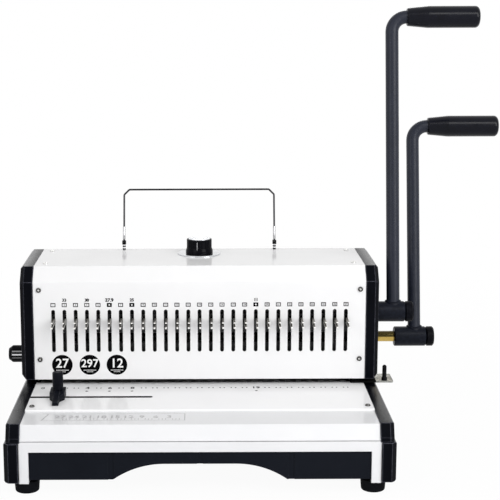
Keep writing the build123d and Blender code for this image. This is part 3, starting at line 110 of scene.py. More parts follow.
# each lamp's degrees to the right and up, its distance, width, depth and watts
lamp_aim_z = 0.16
lamp_aim = Vector((middle_x, panel_y, lamp_aim_z))
lamps = (
    ("key_lamp", 46, 24, 2.4, 1.3, 1.3, 26),
    ("left_lamp", -40, 24, 2.5, 1.2, 1.2, 9),
    ("strip_lamp", 30, 44, 2.2, 1.0, 0.5, 8),
    ("rear_lamp", 180, 24, 2.4, 1.2, 0.5, 5),
)
for lamp_name, across, up, distance, width, depth, watts in lamps:
    light = bpy.data.lights.new(lamp_name, "AREA")
    light.shape = "RECTANGLE"
    light.size = width
    light.size_y = depth
    light.energy = watts
    lamp = bpy.data.objects.new(lamp_name, light)
    around, above = radians(across), radians(up)
    direction = Vector((sin(around) * cos(above), -cos(around) * cos(above), sin(above)))
    turn = direction.to_track_quat("Z", "Y").to_matrix().to_4x4()
    lamp.matrix_world = Matrix.Translation(lamp_aim + direction * distance) @ turn
    bpy.context.scene.collection.objects.link(lamp)

# the floor: white paper that glows to pure white away from the machine
floor_half = 6.0
floor_colour = (0.86, 0.86, 0.87, 1)
glow_near, glow_far = 0.95, 1.0
glow_starts, glow_is_full = 0.35, 1.1
floor_mesh = bpy.data.meshes.new("floor")
made = bmesh.new()
bmesh.ops.create_grid(made, x_segments=1, y_segments=1, size=floor_half)
made.to_mesh(floor_mesh)
made.free()
floor = bpy.data.objects.new("floor", floor_mesh)
bpy.context.scene.collection.objects.link(floor)
paper = bpy.data.materials.new("pale_floor")
paper.use_nodes = True
tree = paper.node_tree
shader = tree.nodes["Principled BSDF"]
shader.inputs["Base Color"].default_value = floor_colour
shader.inputs["Roughness"].default_value = 0.9
shader.inputs["Specular IOR Level"].default_value = 0.2
glow = node(tree, "ShaderNodeEmission", Color=pure_white, Strength=1.0)
where = node(tree, "ShaderNodeTexCoord")
away = node(tree, "ShaderNodeVectorMath", operation="LENGTH")
fade = node(tree, "ShaderNodeMapRange", From_Min=glow_starts, From_Max=glow_is_full,
            To_Min=glow_near, To_Max=glow_far)
tree.links.new(where.outputs["Object"], away.inputs[0])
tree.links.new(away.outputs["Value"], fade.inputs["Value"])
share = node(tree, "ShaderNodeMath", operation="MULTIPLY")
tree.links.new(fade.outputs["Result"], share.inputs[1])
tree.links.new(seen_by_eye(tree), share.inputs[0])
lit = node(tree, "ShaderNodeMixShader")
tree.links.new(share.outputs[0], lit.inputs[0])
tree.links.new(shader.outputs[0], lit.inputs[1])
tree.links.new(glow.outputs[0], lit.inputs[2])
tree.links.new(lit.outputs[0], tree.nodes["Material Output"].inputs["Surface"])
floor_mesh.materials.append(paper)


# ---- Rubber feet: four tapered feet moulded in black rubber, each held up into the base pan
# by one zinc-plated screw in its well. Rubber picks up dust where it meets the bench.
def shader_group(name, inputs, outputs):
    """An empty effect with named inputs and outputs: its tree, its entry and its exit."""
    tree = bpy.data.node_groups.new(name, "ShaderNodeTree")
    for label, value in inputs:
        socket = tree.interface.new_socket(label, in_out="INPUT", socket_type="NodeSocketFloat")
        socket.default_value = value
    for label, kind in outputs:
        tree.interface.new_socket(label, in_out="OUTPUT", socket_type="NodeSocket" + kind)
    return tree, tree.nodes.new("NodeGroupInput"), tree.nodes.new("NodeGroupOutput")


def calculate(tree, operation, first, second=None, third=None, clamp=False):
    """One step of arithmetic on sockets or numbers."""
    made = node(tree, "ShaderNodeMath", operation=operation, use_clamp=clamp)
    for slot, value in enumerate((first, second, third)):
        if isinstance(value, (int, float)):
            made.inputs[slot].default_value = value
        elif value is not None:
            tree.links.new(value, made.inputs[slot])
    return made.outputs[0]


# cloudy patches: slow change of tone and gloss over a surface
clouds, entry, leave = shader_group(
    "cloudy_patches", [("Scale", 12.0), ("Low", 0.0), ("High", 1.0), ("Detail", 3.0)], [("Value", "Float")])
where = node(clouds, "ShaderNodeTexCoord")
noise = node(clouds, "ShaderNodeTexNoise", Roughness=0.6)
spread = node(clouds, "ShaderNodeMapRange", From_Min=0.3, From_Max=0.7)
clouds.links.new(where.outputs["Object"], noise.inputs["Vector"])
clouds.links.new(entry.outputs["Scale"], noise.inputs["Scale"])
clouds.links.new(entry.outputs["Detail"], noise.inputs["Detail"])
clouds.links.new(noise.outputs[0], spread.inputs["Value"])
clouds.links.new(entry.outputs["Low"], spread.inputs["To Min"])
clouds.links.new(entry.outputs["High"], spread.inputs["To Max"])
clouds.links.new(spread.outputs["Result"], leave.inputs["Value"])

# fine grain: the height of a moulded, sprayed or cast skin
grain, entry, leave = shader_group("fine_grain", [("Scale", 1500.0), ("Pits", 0.3)], [("Height", "Float")])
where = node(grain, "ShaderNodeTexCoord")
noise = node(grain, "ShaderNodeTexNoise", Detail=2.0, Roughness=0.5)
cells = node(grain, "ShaderNodeTexVoronoi", feature="SMOOTH_F1", Smoothness=0.6)
for texture in (noise, cells):
    grain.links.new(where.outputs["Object"], texture.inputs["Vector"])
    grain.links.new(entry.outputs["Scale"], texture.inputs["Scale"])
pitted = calculate(grain, "MULTIPLY", cells.outputs["Distance"], entry.outputs["Pits"])
grain.links.new(calculate(grain, "ADD", noise.outputs[0], pitted), leave.inputs["Height"])

# worn edges: a mask of the corners that hands and cloths rub, and the corners' soft normal; on the side
# covers the same mask paints a highlight along the bevels
corner_gain = 9.0
edge_wear_and_highlight, entry, leave = shader_group(
    "worn_and_highlit_edges", [("Radius", 0.0006), ("Amount", 0.5), ("Scale", 180.0)],
    [("Mask", "Float"), ("Normal", "Vector")])
where = node(edge_wear_and_highlight, "ShaderNodeTexCoord")
true_normal = node(edge_wear_and_highlight, "ShaderNodeNewGeometry")
rounded = node(edge_wear_and_highlight, "ShaderNodeBevel", samples=6)
edge_wear_and_highlight.links.new(entry.outputs["Radius"], rounded.inputs["Radius"])
facing = node(edge_wear_and_highlight, "ShaderNodeVectorMath", operation="DOT_PRODUCT")
edge_wear_and_highlight.links.new(true_normal.outputs["Normal"], facing.inputs[0])
edge_wear_and_highlight.links.new(rounded.outputs[0], facing.inputs[1])
bent = calculate(edge_wear_and_highlight, "SUBTRACT", 1.0, facing.outputs["Value"])
corner = calculate(edge_wear_and_highlight, "MULTIPLY", bent, corner_gain, clamp=True)
noise = node(edge_wear_and_highlight, "ShaderNodeTexNoise", Detail=4.0)
edge_wear_and_highlight.links.new(where.outputs["Object"], noise.inputs["Vector"])
edge_wear_and_highlight.links.new(entry.outputs["Scale"], noise.inputs["Scale"])
broken = calculate(edge_wear_and_highlight, "MULTIPLY", corner, noise.outputs[0])
edge_wear_and_highlight.links.new(calculate(edge_wear_and_highlight, "MULTIPLY", broken, entry.outputs["Amount"], clamp=True), leave.inputs["Mask"])
edge_wear_and_highlight.links.new(rounded.outputs[0], leave.inputs["Normal"])

# settled dust: a pale film on what faces upwards
dust_colour = (0.35, 0.34, 0.33)
dust, entry, leave = shader_group("settled_dust", [("Scale", 60.0), ("Amount", 0.2)], [("Mask", "Float")])
where = node(dust, "ShaderNodeTexCoord")
split = node(dust, "ShaderNodeSeparateXYZ")
dust.links.new(node(dust, "ShaderNodeNewGeometry").outputs["Normal"], split.inputs[0])
noise = node(dust, "ShaderNodeTexNoise", Detail=5.0, Roughness=0.7)
dust.links.new(where.outputs["Object"], noise.inputs["Vector"])
dust.links.new(entry.outputs["Scale"], noise.inputs["Scale"])
upward = calculate(dust, "MAXIMUM", split.outputs["Z"], 0.0)
dust_film_and_shade = calculate(dust, "MULTIPLY", upward, noise.outputs[0])
dust.links.new(calculate(dust, "MULTIPLY", dust_film_and_shade, entry.outputs["Amount"], clamp=True), leave.inputs["Mask"])


def effect(tree, group, **values):
    """One of the shared effects, placed in a material with its own values."""
    made = tree.nodes.new("ShaderNodeGroup")
    made.node_tree = group
    for label, value in values.items():
        made.inputs[label].default_value = value
    return made


def blended(tree, mask, first, second):
    """Colour that goes from the first to the second by a mask."""
    made = node(tree, "ShaderNodeMix", data_type="RGBA")
    tree.links.new(mask, made.inputs["Factor"])
    for index, value in ((6, first), (7, second)):
        if isinstance(value, tuple):
            made.inputs[index].default_value = (*value, 1)
        else:
            tree.links.new(value, made.inputs[index])
    return made.outputs[2]


def skin(name, tones, gloss, grain_scale, grain_height, patch_scale=14.0, pits=0.3, edge=None,
         edge_radius=0.0006, edge_amount=0.6, dusty=0.0, specular=0.5, metallic=0.0):
    """A material of two close tones in patches, with uneven gloss, a grained skin and worn edges; on some
    materials the edge colour is a painted highlight.
    """
    sheen_ratio = 2.7
    material = bpy.data.materials.new(name)
    material.use_nodes = True
    tree = material.node_tree
    shader = tree.nodes["Principled BSDF"]
    shader.inputs["Specular IOR Level"].default_value = specular
    shader.inputs["Metallic"].default_value = metallic
    patches = effect(tree, clouds, Scale=patch_scale)
    color = blended(tree, patches.outputs["Value"], tones[0], tones[1])
    edges = effect(tree, edge_wear_and_highlight, Radius=edge_radius, Amount=edge_amount)
    if edge:
        color = blended(tree, edges.outputs["Mask"], color, edge)
    if dusty:
        dust_film_and_shade = effect(tree, dust, Amount=dusty)
        color = blended(tree, dust_film_and_shade.outputs["Mask"], color, dust_colour)
    tree.links.new(color, shader.inputs["Base Color"])
    sheen = effect(tree, clouds, Scale=patch_scale * sheen_ratio, Low=gloss[0], High=gloss[1])
    tree.links.new(sheen.outputs["Value"], shader.inputs["Roughness"])
    relief = node(tree, "ShaderNodeBump", Strength=1.0, Distance=grain_height)
    fine = effect(tree, grain, Scale=grain_scale, Pits=pits)
    tree.links.new(fine.outputs["Height"], relief.inputs["Height"])
    tree.links.new(edges.outputs["Normal"], relief.inputs["Normal"])
    tree.links.new(relief.outputs[0], shader.inputs["Normal"])
    return material


def dress(material, *names):
    """Put a material on nodes of the machine as they are."""
    for name in names:
        owner = frame["nodes"][name]
        if not owner.material_slots:
            owner.data.materials.append(material)
        for holder in owner.material_slots:
            holder.material = material


foot_rubber = skin(
    "foot_rubber", ((0.004, 0.0045, 0.006), (0.007, 0.0075, 0.009)), (0.6, 0.8), 900, 0.00006,
    dusty=0.03, specular=0.03)
dress(foot_rubber, "rubber_feet")
screw_zinc = skin(
    "zinc_screw", ((0.42, 0.42, 0.41), (0.62, 0.62, 0.60)), (0.25, 0.42), 2500, 0.00002,
    patch_scale=300, metallic=1.0, edge=(0.16, 0.16, 0.15), edge_radius=0.0003, edge_amount=0.9)
dress(screw_zinc, "foot_screws")

# ---- The steel works: pan, side plates, tie rods, rails, gears and racks, cut from oiled
# sheet and bar. They sit in the dark behind the covers, and their colour is painted near-black
# as painted shade.
# near-black: oiled steel, darkened further as painted shade
steel_painted_dark = skin(
    "steel_painted_dark", ((0.035, 0.035, 0.037), (0.07, 0.07, 0.072)), (0.38, 0.58), 700, 0.00004,
    patch_scale=40, metallic=0.75, edge=(0.2, 0.2, 0.2), edge_radius=0.0004, dusty=0.1)
dress(steel_painted_dark, "base_pan", "left_side_plate", "right_side_plate", "tie_rods", "carriage_rails",
      "drawer_rails", "stop_bracket", "punch_bar", "punch_racks", "punch_gears", "hook_racks", "hook_bar",
      "binding_gears", "stop_finger", "closing_stop", "gauge_cam_rod", "back_gauge", "guide_nut",
      "size_spindle", "punch_shaft", "binding_shaft")


# ---- Die, stripper and punches: hardened steel, ground on a surface grinder, so fine lines
# run the long way over a brighter metal.
def opened(material):
    """A material's tree and shader, to add to them."""
    return material.node_tree, material.node_tree.nodes["Principled BSDF"]


def engrave(tree, shader, height, strength, depth):
    """Add fine tool marks to a finish, over the relief that it has."""
    marks = node(tree, "ShaderNodeBump", Strength=strength, Distance=depth)
    tree.links.new(height, marks.inputs["Height"])
    tree.links.new(shader.inputs["Normal"].links[0].from_socket, marks.inputs["Normal"])
    tree.links.new(marks.outputs[0], shader.inputs["Normal"])


ground_steel = skin(
    "ground_steel", ((0.30, 0.30, 0.30), (0.40, 0.40, 0.395)), (0.28, 0.4), 1200, 0.00002,
    patch_scale=60, metallic=1.0, edge=(0.6, 0.6, 0.6), edge_radius=0.0003)
tree, shader = opened(ground_steel)
where = node(tree, "ShaderNodeTexCoord")
along = node(tree, "ShaderNodeMapping", Scale=(8, 1500, 1500))
lines = node(tree, "ShaderNodeTexNoise", Scale=1.0, Detail=3.0)
tree.links.new(where.outputs["Object"], along.inputs["Vector"])
tree.links.new(along.outputs[0], lines.inputs["Vector"])
engrave(tree, shader, lines.outputs[0], 0.6, 0.00002)
dress(ground_steel, "die_block", "stripper_bar", "punch_pins")

# ---- White sheet metal: the housing, table, ruler plate, drawer frame and rear cover, folded
# from sheet and sprayed with gloss white enamel, which leaves a faint orange-peel skin. The
# walls of the guide's slot, in the ruler plate and the table, are painted black as painted shade.
slot_middle_y = -0.0444
slot_half_width = 0.003
slot_right_end = -0.052
slot_margin = 0.0001
slot_lip = 0.000025
slot_shade_black = (0.004, 0.004, 0.005)
ruler_face_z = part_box("ruler_plate")[1].z


def position(tree):
    """Where on the machine a point of the surface is: its X, Y and Z."""
    where = node(tree, "ShaderNodeTexCoord")
    split = node(tree, "ShaderNodeSeparateXYZ")
    tree.links.new(where.outputs["Object"], split.inputs[0])
    return split.outputs["X"], split.outputs["Y"], split.outputs["Z"]


def apart(tree, value, middle):
    """How far a value is from its middle, on either side."""
    return calculate(tree, "ABSOLUTE", calculate(tree, "SUBTRACT", value, middle))


def recolour(tree, shader, mask, colour):
    """Paint over the base colour by a mask."""
    plain = shader.inputs["Base Color"].links[0].from_socket
    tree.links.new(blended(tree, mask, plain, colour), shader.inputs["Base Color"])


def line_the_slot(tree, shader):
    """Paint shade black over what lies inside the guide's slot, below the ruler plate's face."""
    x, y, z = position(tree)
    aside = apart(tree, y, panel_y + slot_middle_y)
    within = calculate(tree, "LESS_THAN", aside, slot_half_width + slot_margin)
    left = calculate(tree, "LESS_THAN", x, middle_x + slot_right_end + slot_margin)
    below = calculate(tree, "LESS_THAN", z, ruler_face_z - slot_lip)
    shaded_in_slot = calculate(tree, "MULTIPLY", calculate(tree, "MULTIPLY", within, left), below)
    # painted shade: black inside the slot
    recolour(tree, shader, shaded_in_slot, slot_shade_black)


# the table's and base bezel's copy of the enamel is toned darker as painted shade, and the ruler plate's copy
# lighter as painted light
for name, tones, slotted, owners in (
        ("white_enamel", ((0.795, 0.795, 0.80), (0.82, 0.82, 0.825)), False, ("housing_cover", "rear_cover")),
        ("table_enamel_painted_shade", ((0.735, 0.74, 0.755), (0.765, 0.768, 0.78)), True, ("table_cover", "base_bezel")),
        ("ruler_enamel_painted_light", ((0.89, 0.89, 0.90), (0.92, 0.92, 0.925)), True, ("ruler_plate",))):
    enamel = skin(name, tones, (0.10, 0.16), 420, 0.000008, patch_scale=9,
                  edge=(0.62, 0.62, 0.63), edge_radius=0.0007, edge_amount=0.35, specular=0.16)
    if slotted:
        line_the_slot(*opened(enamel))
    dress(enamel, *owners)

# ---- Chip drawer: a slate-black moulded front with a finger arch, and the tray behind it in
# the same plastic. It slides out to the front on the two rails of the base.
drawer_plastic = skin(
    "slate_plastic", ((0.0052, 0.0066, 0.0102), (0.0075, 0.0090, 0.0135)), (0.4, 0.55), 2200, 0.00004,
    specular=0.05, edge=(0.035, 0.038, 0.048), edge_radius=0.0005)
dress(drawer_plastic, "chip_drawer_front", "chip_drawer_tray")

# ---- Side covers and base caps: near-black mouldings with a faint navy tint and a fine
# etched grain, screwed to the steel side plates. Their bevels are painted lighter by the
# edge mask as a painted highlight, and faces seen at a low angle mirror the room, most along
# their crowned outer side.
# the light edge colour here is a painted highlight along the bevels
cover_plastic = skin(
    "grained_black_plastic", ((0.0016, 0.0019, 0.0034), (0.0030, 0.0034, 0.0056)), (0.2, 0.28), 2600,
    0.00002, patch_scale=18, specular=0.035, edge=(0.13, 0.132, 0.165), edge_radius=0.0015, edge_amount=1.3)
tree, shader = opened(cover_plastic)
crown_width = 0.013
crown_power = 2.0
plain_specular = 0.03
cover_edge_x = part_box("right_side_cover")[1].x - middle_x
rim = node(tree, "ShaderNodeLayerWeight")
grazing = node(tree, "ShaderNodeMapRange", From_Min=0.62, From_Max=0.80, To_Min=0.0, To_Max=0.34)
tree.links.new(rim.outputs["Facing"], grazing.inputs["Value"])
crowned = node(tree, "ShaderNodeMapRange", From_Min=cover_edge_x - crown_width, From_Max=cover_edge_x,
               To_Min=0.12, To_Max=1.0)
tree.links.new(apart(tree, position(tree)[0], middle_x), crowned.inputs["Value"])
curved = calculate(tree, "POWER", crowned.outputs["Result"], crown_power)
gleam = calculate(tree, "MULTIPLY", grazing.outputs["Result"], curved)
tree.links.new(calculate(tree, "ADD", gleam, plain_specular), shader.inputs["Specular IOR Level"])
dress(cover_plastic, "left_side_cover", "right_side_cover", "left_base_cap", "right_base_cap")


def new_piece(name, made, material, body, smooth=None):
    """Turn a bmesh into a finished piece that rides on a body; smooth is the sharpest rounded angle."""
    bmesh.ops.recalc_face_normals(made, faces=made.faces)
    mesh = bpy.data.meshes.new(name)
    made.to_mesh(mesh)
    made.free()
    if smooth is not None:
        mesh.polygons.foreach_set("use_smooth", [True] * len(mesh.polygons))
        mesh.set_sharp_from_angle(angle=radians(smooth))
    mesh.materials.append(material)
    piece = bpy.data.objects.new(name, mesh)
    bpy.context.scene.collection.objects.link(piece)
    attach(piece, body)


def turned(made, profile, middle, axis, steps):
    """Spin a profile of (along the axis, radius) into the bmesh, about an axis through a point."""
    up = Vector(axis)
    side = up.orthogonal().normalized()
    points = [made.verts.new(middle + up * along + side * radius) for along, radius in profile]
    edges = [made.edges.new(ends) for ends in zip(points, points[1:])]
    bmesh.ops.spin(made, geom=points + edges, cent=middle, axis=up, angle=2 * pi, steps=steps, use_merge=True)
    bmesh.ops.remove_doubles(made, verts=made.verts, dist=0.000002)


# the cover screws: dark low heads with a hexagon socket, five on each side cover, placed by
# distance behind the panel and height
cover_screw_profile = (
    (0, 0.0044), (0.0002, 0.0044), (0.0004, 0.0041), (0.0004, 0.0019), (-0.0002, 0.0018), (-0.0002, 0))
cover_screw_places = (
    (-0.118, 0.0665), (-0.056, 0.0665), (0.052, 0.0665), (0.018, 0.194), (0.104, 0.194))
made = bmesh.new()
for name, side in (("left_side_cover", -1), ("right_side_cover", 1)):
    low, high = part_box(name)
    face_x = low.x if side < 0 else high.x
    for y, z in cover_screw_places:
        turned(made, cover_screw_profile, Vector((face_x, panel_y + y, z)), (side, 0, 0), 20)
black_screw = skin(
    "black_screw", ((0.012, 0.012, 0.013), (0.03, 0.03, 0.031)), (0.3, 0.45), 2200, 0.00002,
    patch_scale=260, metallic=0.6, edge=(0.12, 0.12, 0.12), edge_radius=0.0003)
new_piece("side_cover_screws", made, black_screw, "frame", smooth=40)

# ---- Small screws of the panel, top, back and table: domes with a cross recess, given a
# bright zinc colour as a painted highlight in their middles. Those of the panel, the back and
# the table sit in black cup washers, dark rings round their bright middles.
highlight_dome_screw = skin(
    "dome_screw_painted_highlight", ((0.60, 0.60, 0.59), (0.78, 0.78, 0.76)), (0.2, 0.35), 2500, 0.00002,
    patch_scale=300, metallic=1.0)
dress(highlight_dome_screw, "cover_screws", "table_screws")
cup_black = skin(
    "black_cup_washer", ((0.008, 0.007, 0.006), (0.016, 0.014, 0.012)), (0.35, 0.5), 2200, 0.00002,
    patch_scale=300, specular=0.12, edge=(0.05, 0.045, 0.04), edge_radius=0.0002)
cup_profile = (
    (0, 0.0029), (0.0009, 0.0029), (0.0016, 0.0023), (0.0016, 0.0013), (0.0011, 0.0012), (0, 0.0012),
    (0, 0.0029))
panel_screw_x, table_screw_x, table_screw_y = 0.181, 0.1815, -0.080
panel_screw_heights = (0.1082, 0.1886)
rear_screw_heights = (0.040, 0.190)
rear_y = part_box("rear_cover")[1].y
cups = bmesh.new()
for side in (-1, 1):
    sheet_x = middle_x + side * panel_screw_x
    for face_y, heights, outward in ((panel_y, panel_screw_heights, -1), (rear_y, rear_screw_heights, 1)):
        for z in heights:
            turned(cups, cup_profile, Vector((sheet_x, face_y, z)), (0, outward, 0), 24)
    on_ruler = Vector((middle_x + side * table_screw_x, panel_y + table_screw_y, ruler_face_z))
    turned(cups, cup_profile, on_ruler, (0, 0, 1), 24)
new_piece("screw_cups", cups, cup_black, "frame", smooth=40)

# ---- Print on the panel: a small numbered box over each slot, three of them filled, with a
# length in centimetres over some, and three black discs with plain numbers and rows of dashes.
# All of it is screen-printed as thin films of ink, sunk a little into the enamel.
ink_film = 0.0001
ink_middle = 0.3
slot_pitch = 0.0127
slot_count = 27
slot_xs = [middle_x + slot_pitch * (index - (slot_count - 1) / 2) for index in range(slot_count)]
ink_black = skin(
    "black_ink", ((0.0012, 0.0012, 0.0016), (0.003, 0.003, 0.0036)), (0.3, 0.42), 3000, 0.000006,
    patch_scale=60, specular=0.02)
ink_grey = skin(
    "grey_ink", ((0.008, 0.008, 0.009), (0.022, 0.022, 0.024)), (0.35, 0.5), 3000, 0.000006,
    patch_scale=400, specular=0.12)
ink_white = skin(
    "white_ink", ((0.78, 0.78, 0.78), (0.84, 0.84, 0.84)), (0.35, 0.5), 3000, 0.000006,
    patch_scale=60, specular=0.3)
upright = Matrix.Rotation(pi / 2, 4, "X")


def printed_number(made, words, height, place):
    """A plain number in ink, drawn upright and made a mesh before it is put in its place."""
    digit_share = 0.7
    boldness = 0.025
    curve = bpy.data.curves.new("number", "FONT")
    curve.body = words
    curve.size = height / digit_share
    curve.align_x = "CENTER"
    curve.align_y = "CENTER"
    curve.extrude = ink_film / 2
    curve.offset = height * boldness
    curve.resolution_u = 3
    drawn = bpy.data.objects.new("number", curve)
    bpy.context.scene.collection.objects.link(drawn)
    bpy.context.view_layer.update()
    mesh = bpy.data.meshes.new_from_object(drawn.evaluated_get(bpy.context.evaluated_depsgraph_get()))
    bpy.data.objects.remove(drawn)
    bpy.data.curves.remove(curve)
    mesh.transform(place)
    made.from_mesh(mesh)
    bpy.data.meshes.remove(mesh)


def printed_block(made, width, height, place):
    """A rectangle of ink, centred on its place and standing out from it."""
    corners = bmesh.ops.create_cube(made, size=1)["verts"]
    bmesh.ops.transform(made, matrix=place @ Matrix.Diagonal((width, height, ink_film, 1)), verts=corners)


def printed_disc(made, radius, place, segments):
    """A round spot of ink."""
    bmesh.ops.create_cone(made, cap_ends=True, segments=segments, radius1=radius, radius2=radius,
                          depth=ink_film, matrix=place)


def on_panel(x, z, layer=0):
    """A place on the front panel, by its X and height; a higher layer lies over a lower one."""
    return Matrix.Translation((x, panel_y - ink_film * (ink_middle + layer), z)) @ upright


box_z = 0.1714
box_width, box_height, box_line = 0.0056, 0.0046, 0.0009
box_number_height = 0.0019
box_spot_radius = 0.00095
filled_slots = (6, 8, 19)
outlined = bmesh.new()
filled = bmesh.new()
spots = bmesh.new()
for index, x in enumerate(slot_xs, start=1):
    if index in filled_slots:
        printed_block(filled, box_width, box_height, on_panel(x, box_z))
        printed_disc(spots, box_spot_radius, on_panel(x, box_z, 1), 16)
        continue
    for side in (-1, 1):
        printed_block(outlined, box_line, box_height, on_panel(x + side * (box_width - box_line) / 2, box_z))
        printed_block(outlined, box_width - 2 * box_line, box_line,
                      on_panel(x, box_z + side * (box_height - box_line) / 2))
    printed_number(outlined, str(index), box_number_height, on_panel(x, box_z))

# each length's slot, words and height; it is printed twice, a little apart both ways, so that
# it comes out bold
length_z = 0.1769
length_shift = 0.00024
shift_per_rise = 3
lengths = ((2, "33", 0.0034), (4, "30", 0.0034), (6, "27.9", 0.0038), (8, "25", 0.0034), (19, "11", 0.0034))
for index, words, height in lengths:
    for shift in (-length_shift, length_shift):
        place = on_panel(slot_xs[index - 1] + shift, length_z, shift / ink_film / shift_per_rise)
        printed_number(filled, words, height, place)
new_piece("slot_number_boxes", outlined, ink_grey, "frame")
new_piece("filled_number_boxes", filled, ink_black, "frame")

# each disc's number, its place and the number's height; then each row of dashes under it: how
# many, their width and height, their pitch and how far they are below the disc's middle
badge_z = 0.1018
badge_radius = 0.0117
badge_number_rise = 0.0014
badges = (("27", -0.156, 0.0104), ("297", -0.1248, 0.0092), ("12", -0.094, 0.0104))
dash_rows = ((9, 0.0012, 0.0009, 0.0016, 0.0062), (5, 0.0011, 0.0007, 0.0015, 0.0081))
discs = bmesh.new()
for words, x, height in badges:
    printed_disc(discs, badge_radius, on_panel(middle_x + x, badge_z), 72)
    printed_number(spots, words, height, on_panel(middle_x + x, badge_z + badge_number_rise, 1))
    for count, dash_width, dash_height, pitch, drop in dash_rows:
        for dash in range(count):
            dash_x = middle_x + x + (dash - (count - 1) / 2) * pitch
            printed_block(spots, dash_width, dash_height, on_panel(dash_x, badge_z - drop, 1))
new_piece("number_discs", discs, ink_black, "frame")
new_piece("white_numbers", spots, ink_white, "frame")

# ---- Marks on the ruler plate: two small dots under each slot, but at four slots a number with
# a small square in front of it, and a zero at the left end. They are printed in grey and black.
mark_y = -0.0096
marked_slots = (4, 6, 8, 19)
dot_radius, dot_stretch, dot_apart = 0.0009, 1.6, 0.0024
mark_height, zero_height = 0.0068, 0.0062
square_side, square_ahead = 0.0026, 0.0125
zero_x = -0.1775


def on_ruler_plate(x, y):
    """A place on the ruler plate, by its X and distance in front of the panel."""
    return Matrix.Translation((x, panel_y + y, ruler_face_z + ink_film * ink_middle))


dots = bmesh.new()
numbers = bmesh.new()
for index, x in enumerate(slot_xs, start=1):
    if index in marked_slots:
        printed_number(numbers, str(index), mark_height, on_ruler_plate(x, mark_y))
        on_its_corner = on_ruler_plate(x, mark_y - square_ahead) @ Matrix.Rotation(pi / 4, 4, "Z")
        printed_block(dots, square_side, square_side, on_its_corner)
        continue
    for side in (-1, 1):
        spot = on_ruler_plate(x + side * dot_apart, mark_y) @ Matrix.Diagonal((1, dot_stretch, 1, 1))
        printed_disc(dots, dot_radius, spot, 12)
printed_number(numbers, "0", zero_height, on_ruler_plate(middle_x + zero_x, mark_y))
new_piece("ruler_dots", dots, ink_grey, "frame")
new_piece("ruler_numbers", numbers, ink_black, "frame")

# ---- Scale on the table in front of the ruler plate: plain numbers between ticks in a fine
# frame, printed in a pale grey that hardly stands out from the enamel.
table_top_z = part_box("table_cover")[1].z
ink_pale = skin(
    "pale_grey_ink", ((0.34, 0.34, 0.35), (0.50, 0.50, 0.51)), (0.25, 0.4), 3000, 0.000006,
    patch_scale=200, specular=0.3)
scale_left, scale_right = -0.168, -0.016
scale_rear, scale_front = -0.0985, -0.1215
scale_line = 0.0004
slash_width, slash_length, slash_inset, slash_lean = 0.0011, 0.021, 0.004, -14
scale_numbers = ("27", "24", "21", "18", "15", "12", "9", "6", "3")
scale_number_height, scale_number_y, first_number_inset, scale_ends = 0.0085, -0.1095, 0.020, 0.022
tick_width, tick_length, tick_front = 0.0007, 0.0048, -0.1195


def on_table(x, y):
    """A place on the table, by distance right of the middle and in front of the panel."""
    return Matrix.Translation((middle_x + x, panel_y + y, table_top_z + ink_film * ink_middle))


scale_print = bmesh.new()
scale_middle_x = (scale_left + scale_right) / 2
scale_middle_y = (scale_rear + scale_front) / 2
for y in (scale_rear, scale_front):
    printed_block(scale_print, scale_right - scale_left, scale_line, on_table(scale_middle_x, y))
printed_block(scale_print, 2 * scale_line, scale_rear - scale_front, on_table(scale_right, scale_middle_y))
slanted = Matrix.Rotation(radians(slash_lean), 4, "Z")
slash_place = on_table(scale_left + slash_inset, scale_middle_y) @ slanted
printed_block(scale_print, slash_width, slash_length, slash_place)
scale_step = (scale_right - scale_left - scale_ends) / len(scale_numbers)
for place, words in enumerate(scale_numbers):
    x = scale_left + first_number_inset + scale_step * place
    printed_number(scale_print, words, scale_number_height, on_table(x, scale_number_y))
    for tick in (1, 2, 3):
        tick_place = on_table(x + scale_step * tick / 4, tick_front + tick_length / 2)
        printed_block(scale_print, tick_width, tick_length, tick_place)
new_piece("table_scale", scale_print, ink_pale, "frame")

# ---- The two levers: round steel bar bent over at the top and welded into its hub, sprayed a
# dark slate, with a collar pinned outside each hub and a glossy moulded grip pushed on the bar.
lever_paint = skin(
    "slate_lever_paint", ((0.013, 0.0155, 0.025), (0.018, 0.021, 0.033)), (0.30, 0.40), 1500, 0.00004,
    patch_scale=25, specular=0.20, edge=(0.07, 0.075, 0.09), edge_radius=0.0005)
dress(lever_paint, "punch_lever_post", "binding_lever_post")
hub_paint = skin(
    "slate_hub_paint", ((0.0035, 0.0045, 0.0085), (0.0085, 0.0105, 0.018)), (0.30, 0.42), 1100, 0.00008,
    patch_scale=260, specular=0.09, edge=(0.05, 0.054, 0.068), edge_radius=0.0005)
dress(hub_paint, "punch_lever_hub", "binding_lever_hub")
rough_casting = skin(
    "rough_black_casting", ((0.0012, 0.0014, 0.0026), (0.0055, 0.006, 0.0090)), (0.4, 0.6), 420, 0.0005,
    patch_scale=170, pits=0.9, specular=0.04, edge=(0.07, 0.072, 0.09), edge_radius=0.0007, edge_amount=0.6)
dress(rough_casting, "punch_lever_collar")
collar_black = skin(
    "black_collar", ((0.002, 0.002, 0.0035), (0.005, 0.005, 0.007)), (0.3, 0.45), 1500, 0.00004,
    patch_scale=60, specular=0.05, edge=(0.05, 0.052, 0.06), edge_radius=0.0006)
dress(collar_black, "binding_lever_collar")
grip_gloss = skin(
    "gloss_black_grip", ((0.0010, 0.0014, 0.0040), (0.0025, 0.003, 0.0075)), (0.14, 0.26), 1300, 0.00002,
    patch_scale=55, specular=0.16, edge=(0.03, 0.03, 0.035))
dress(grip_gloss, "punch_lever_grip", "binding_lever_grip")

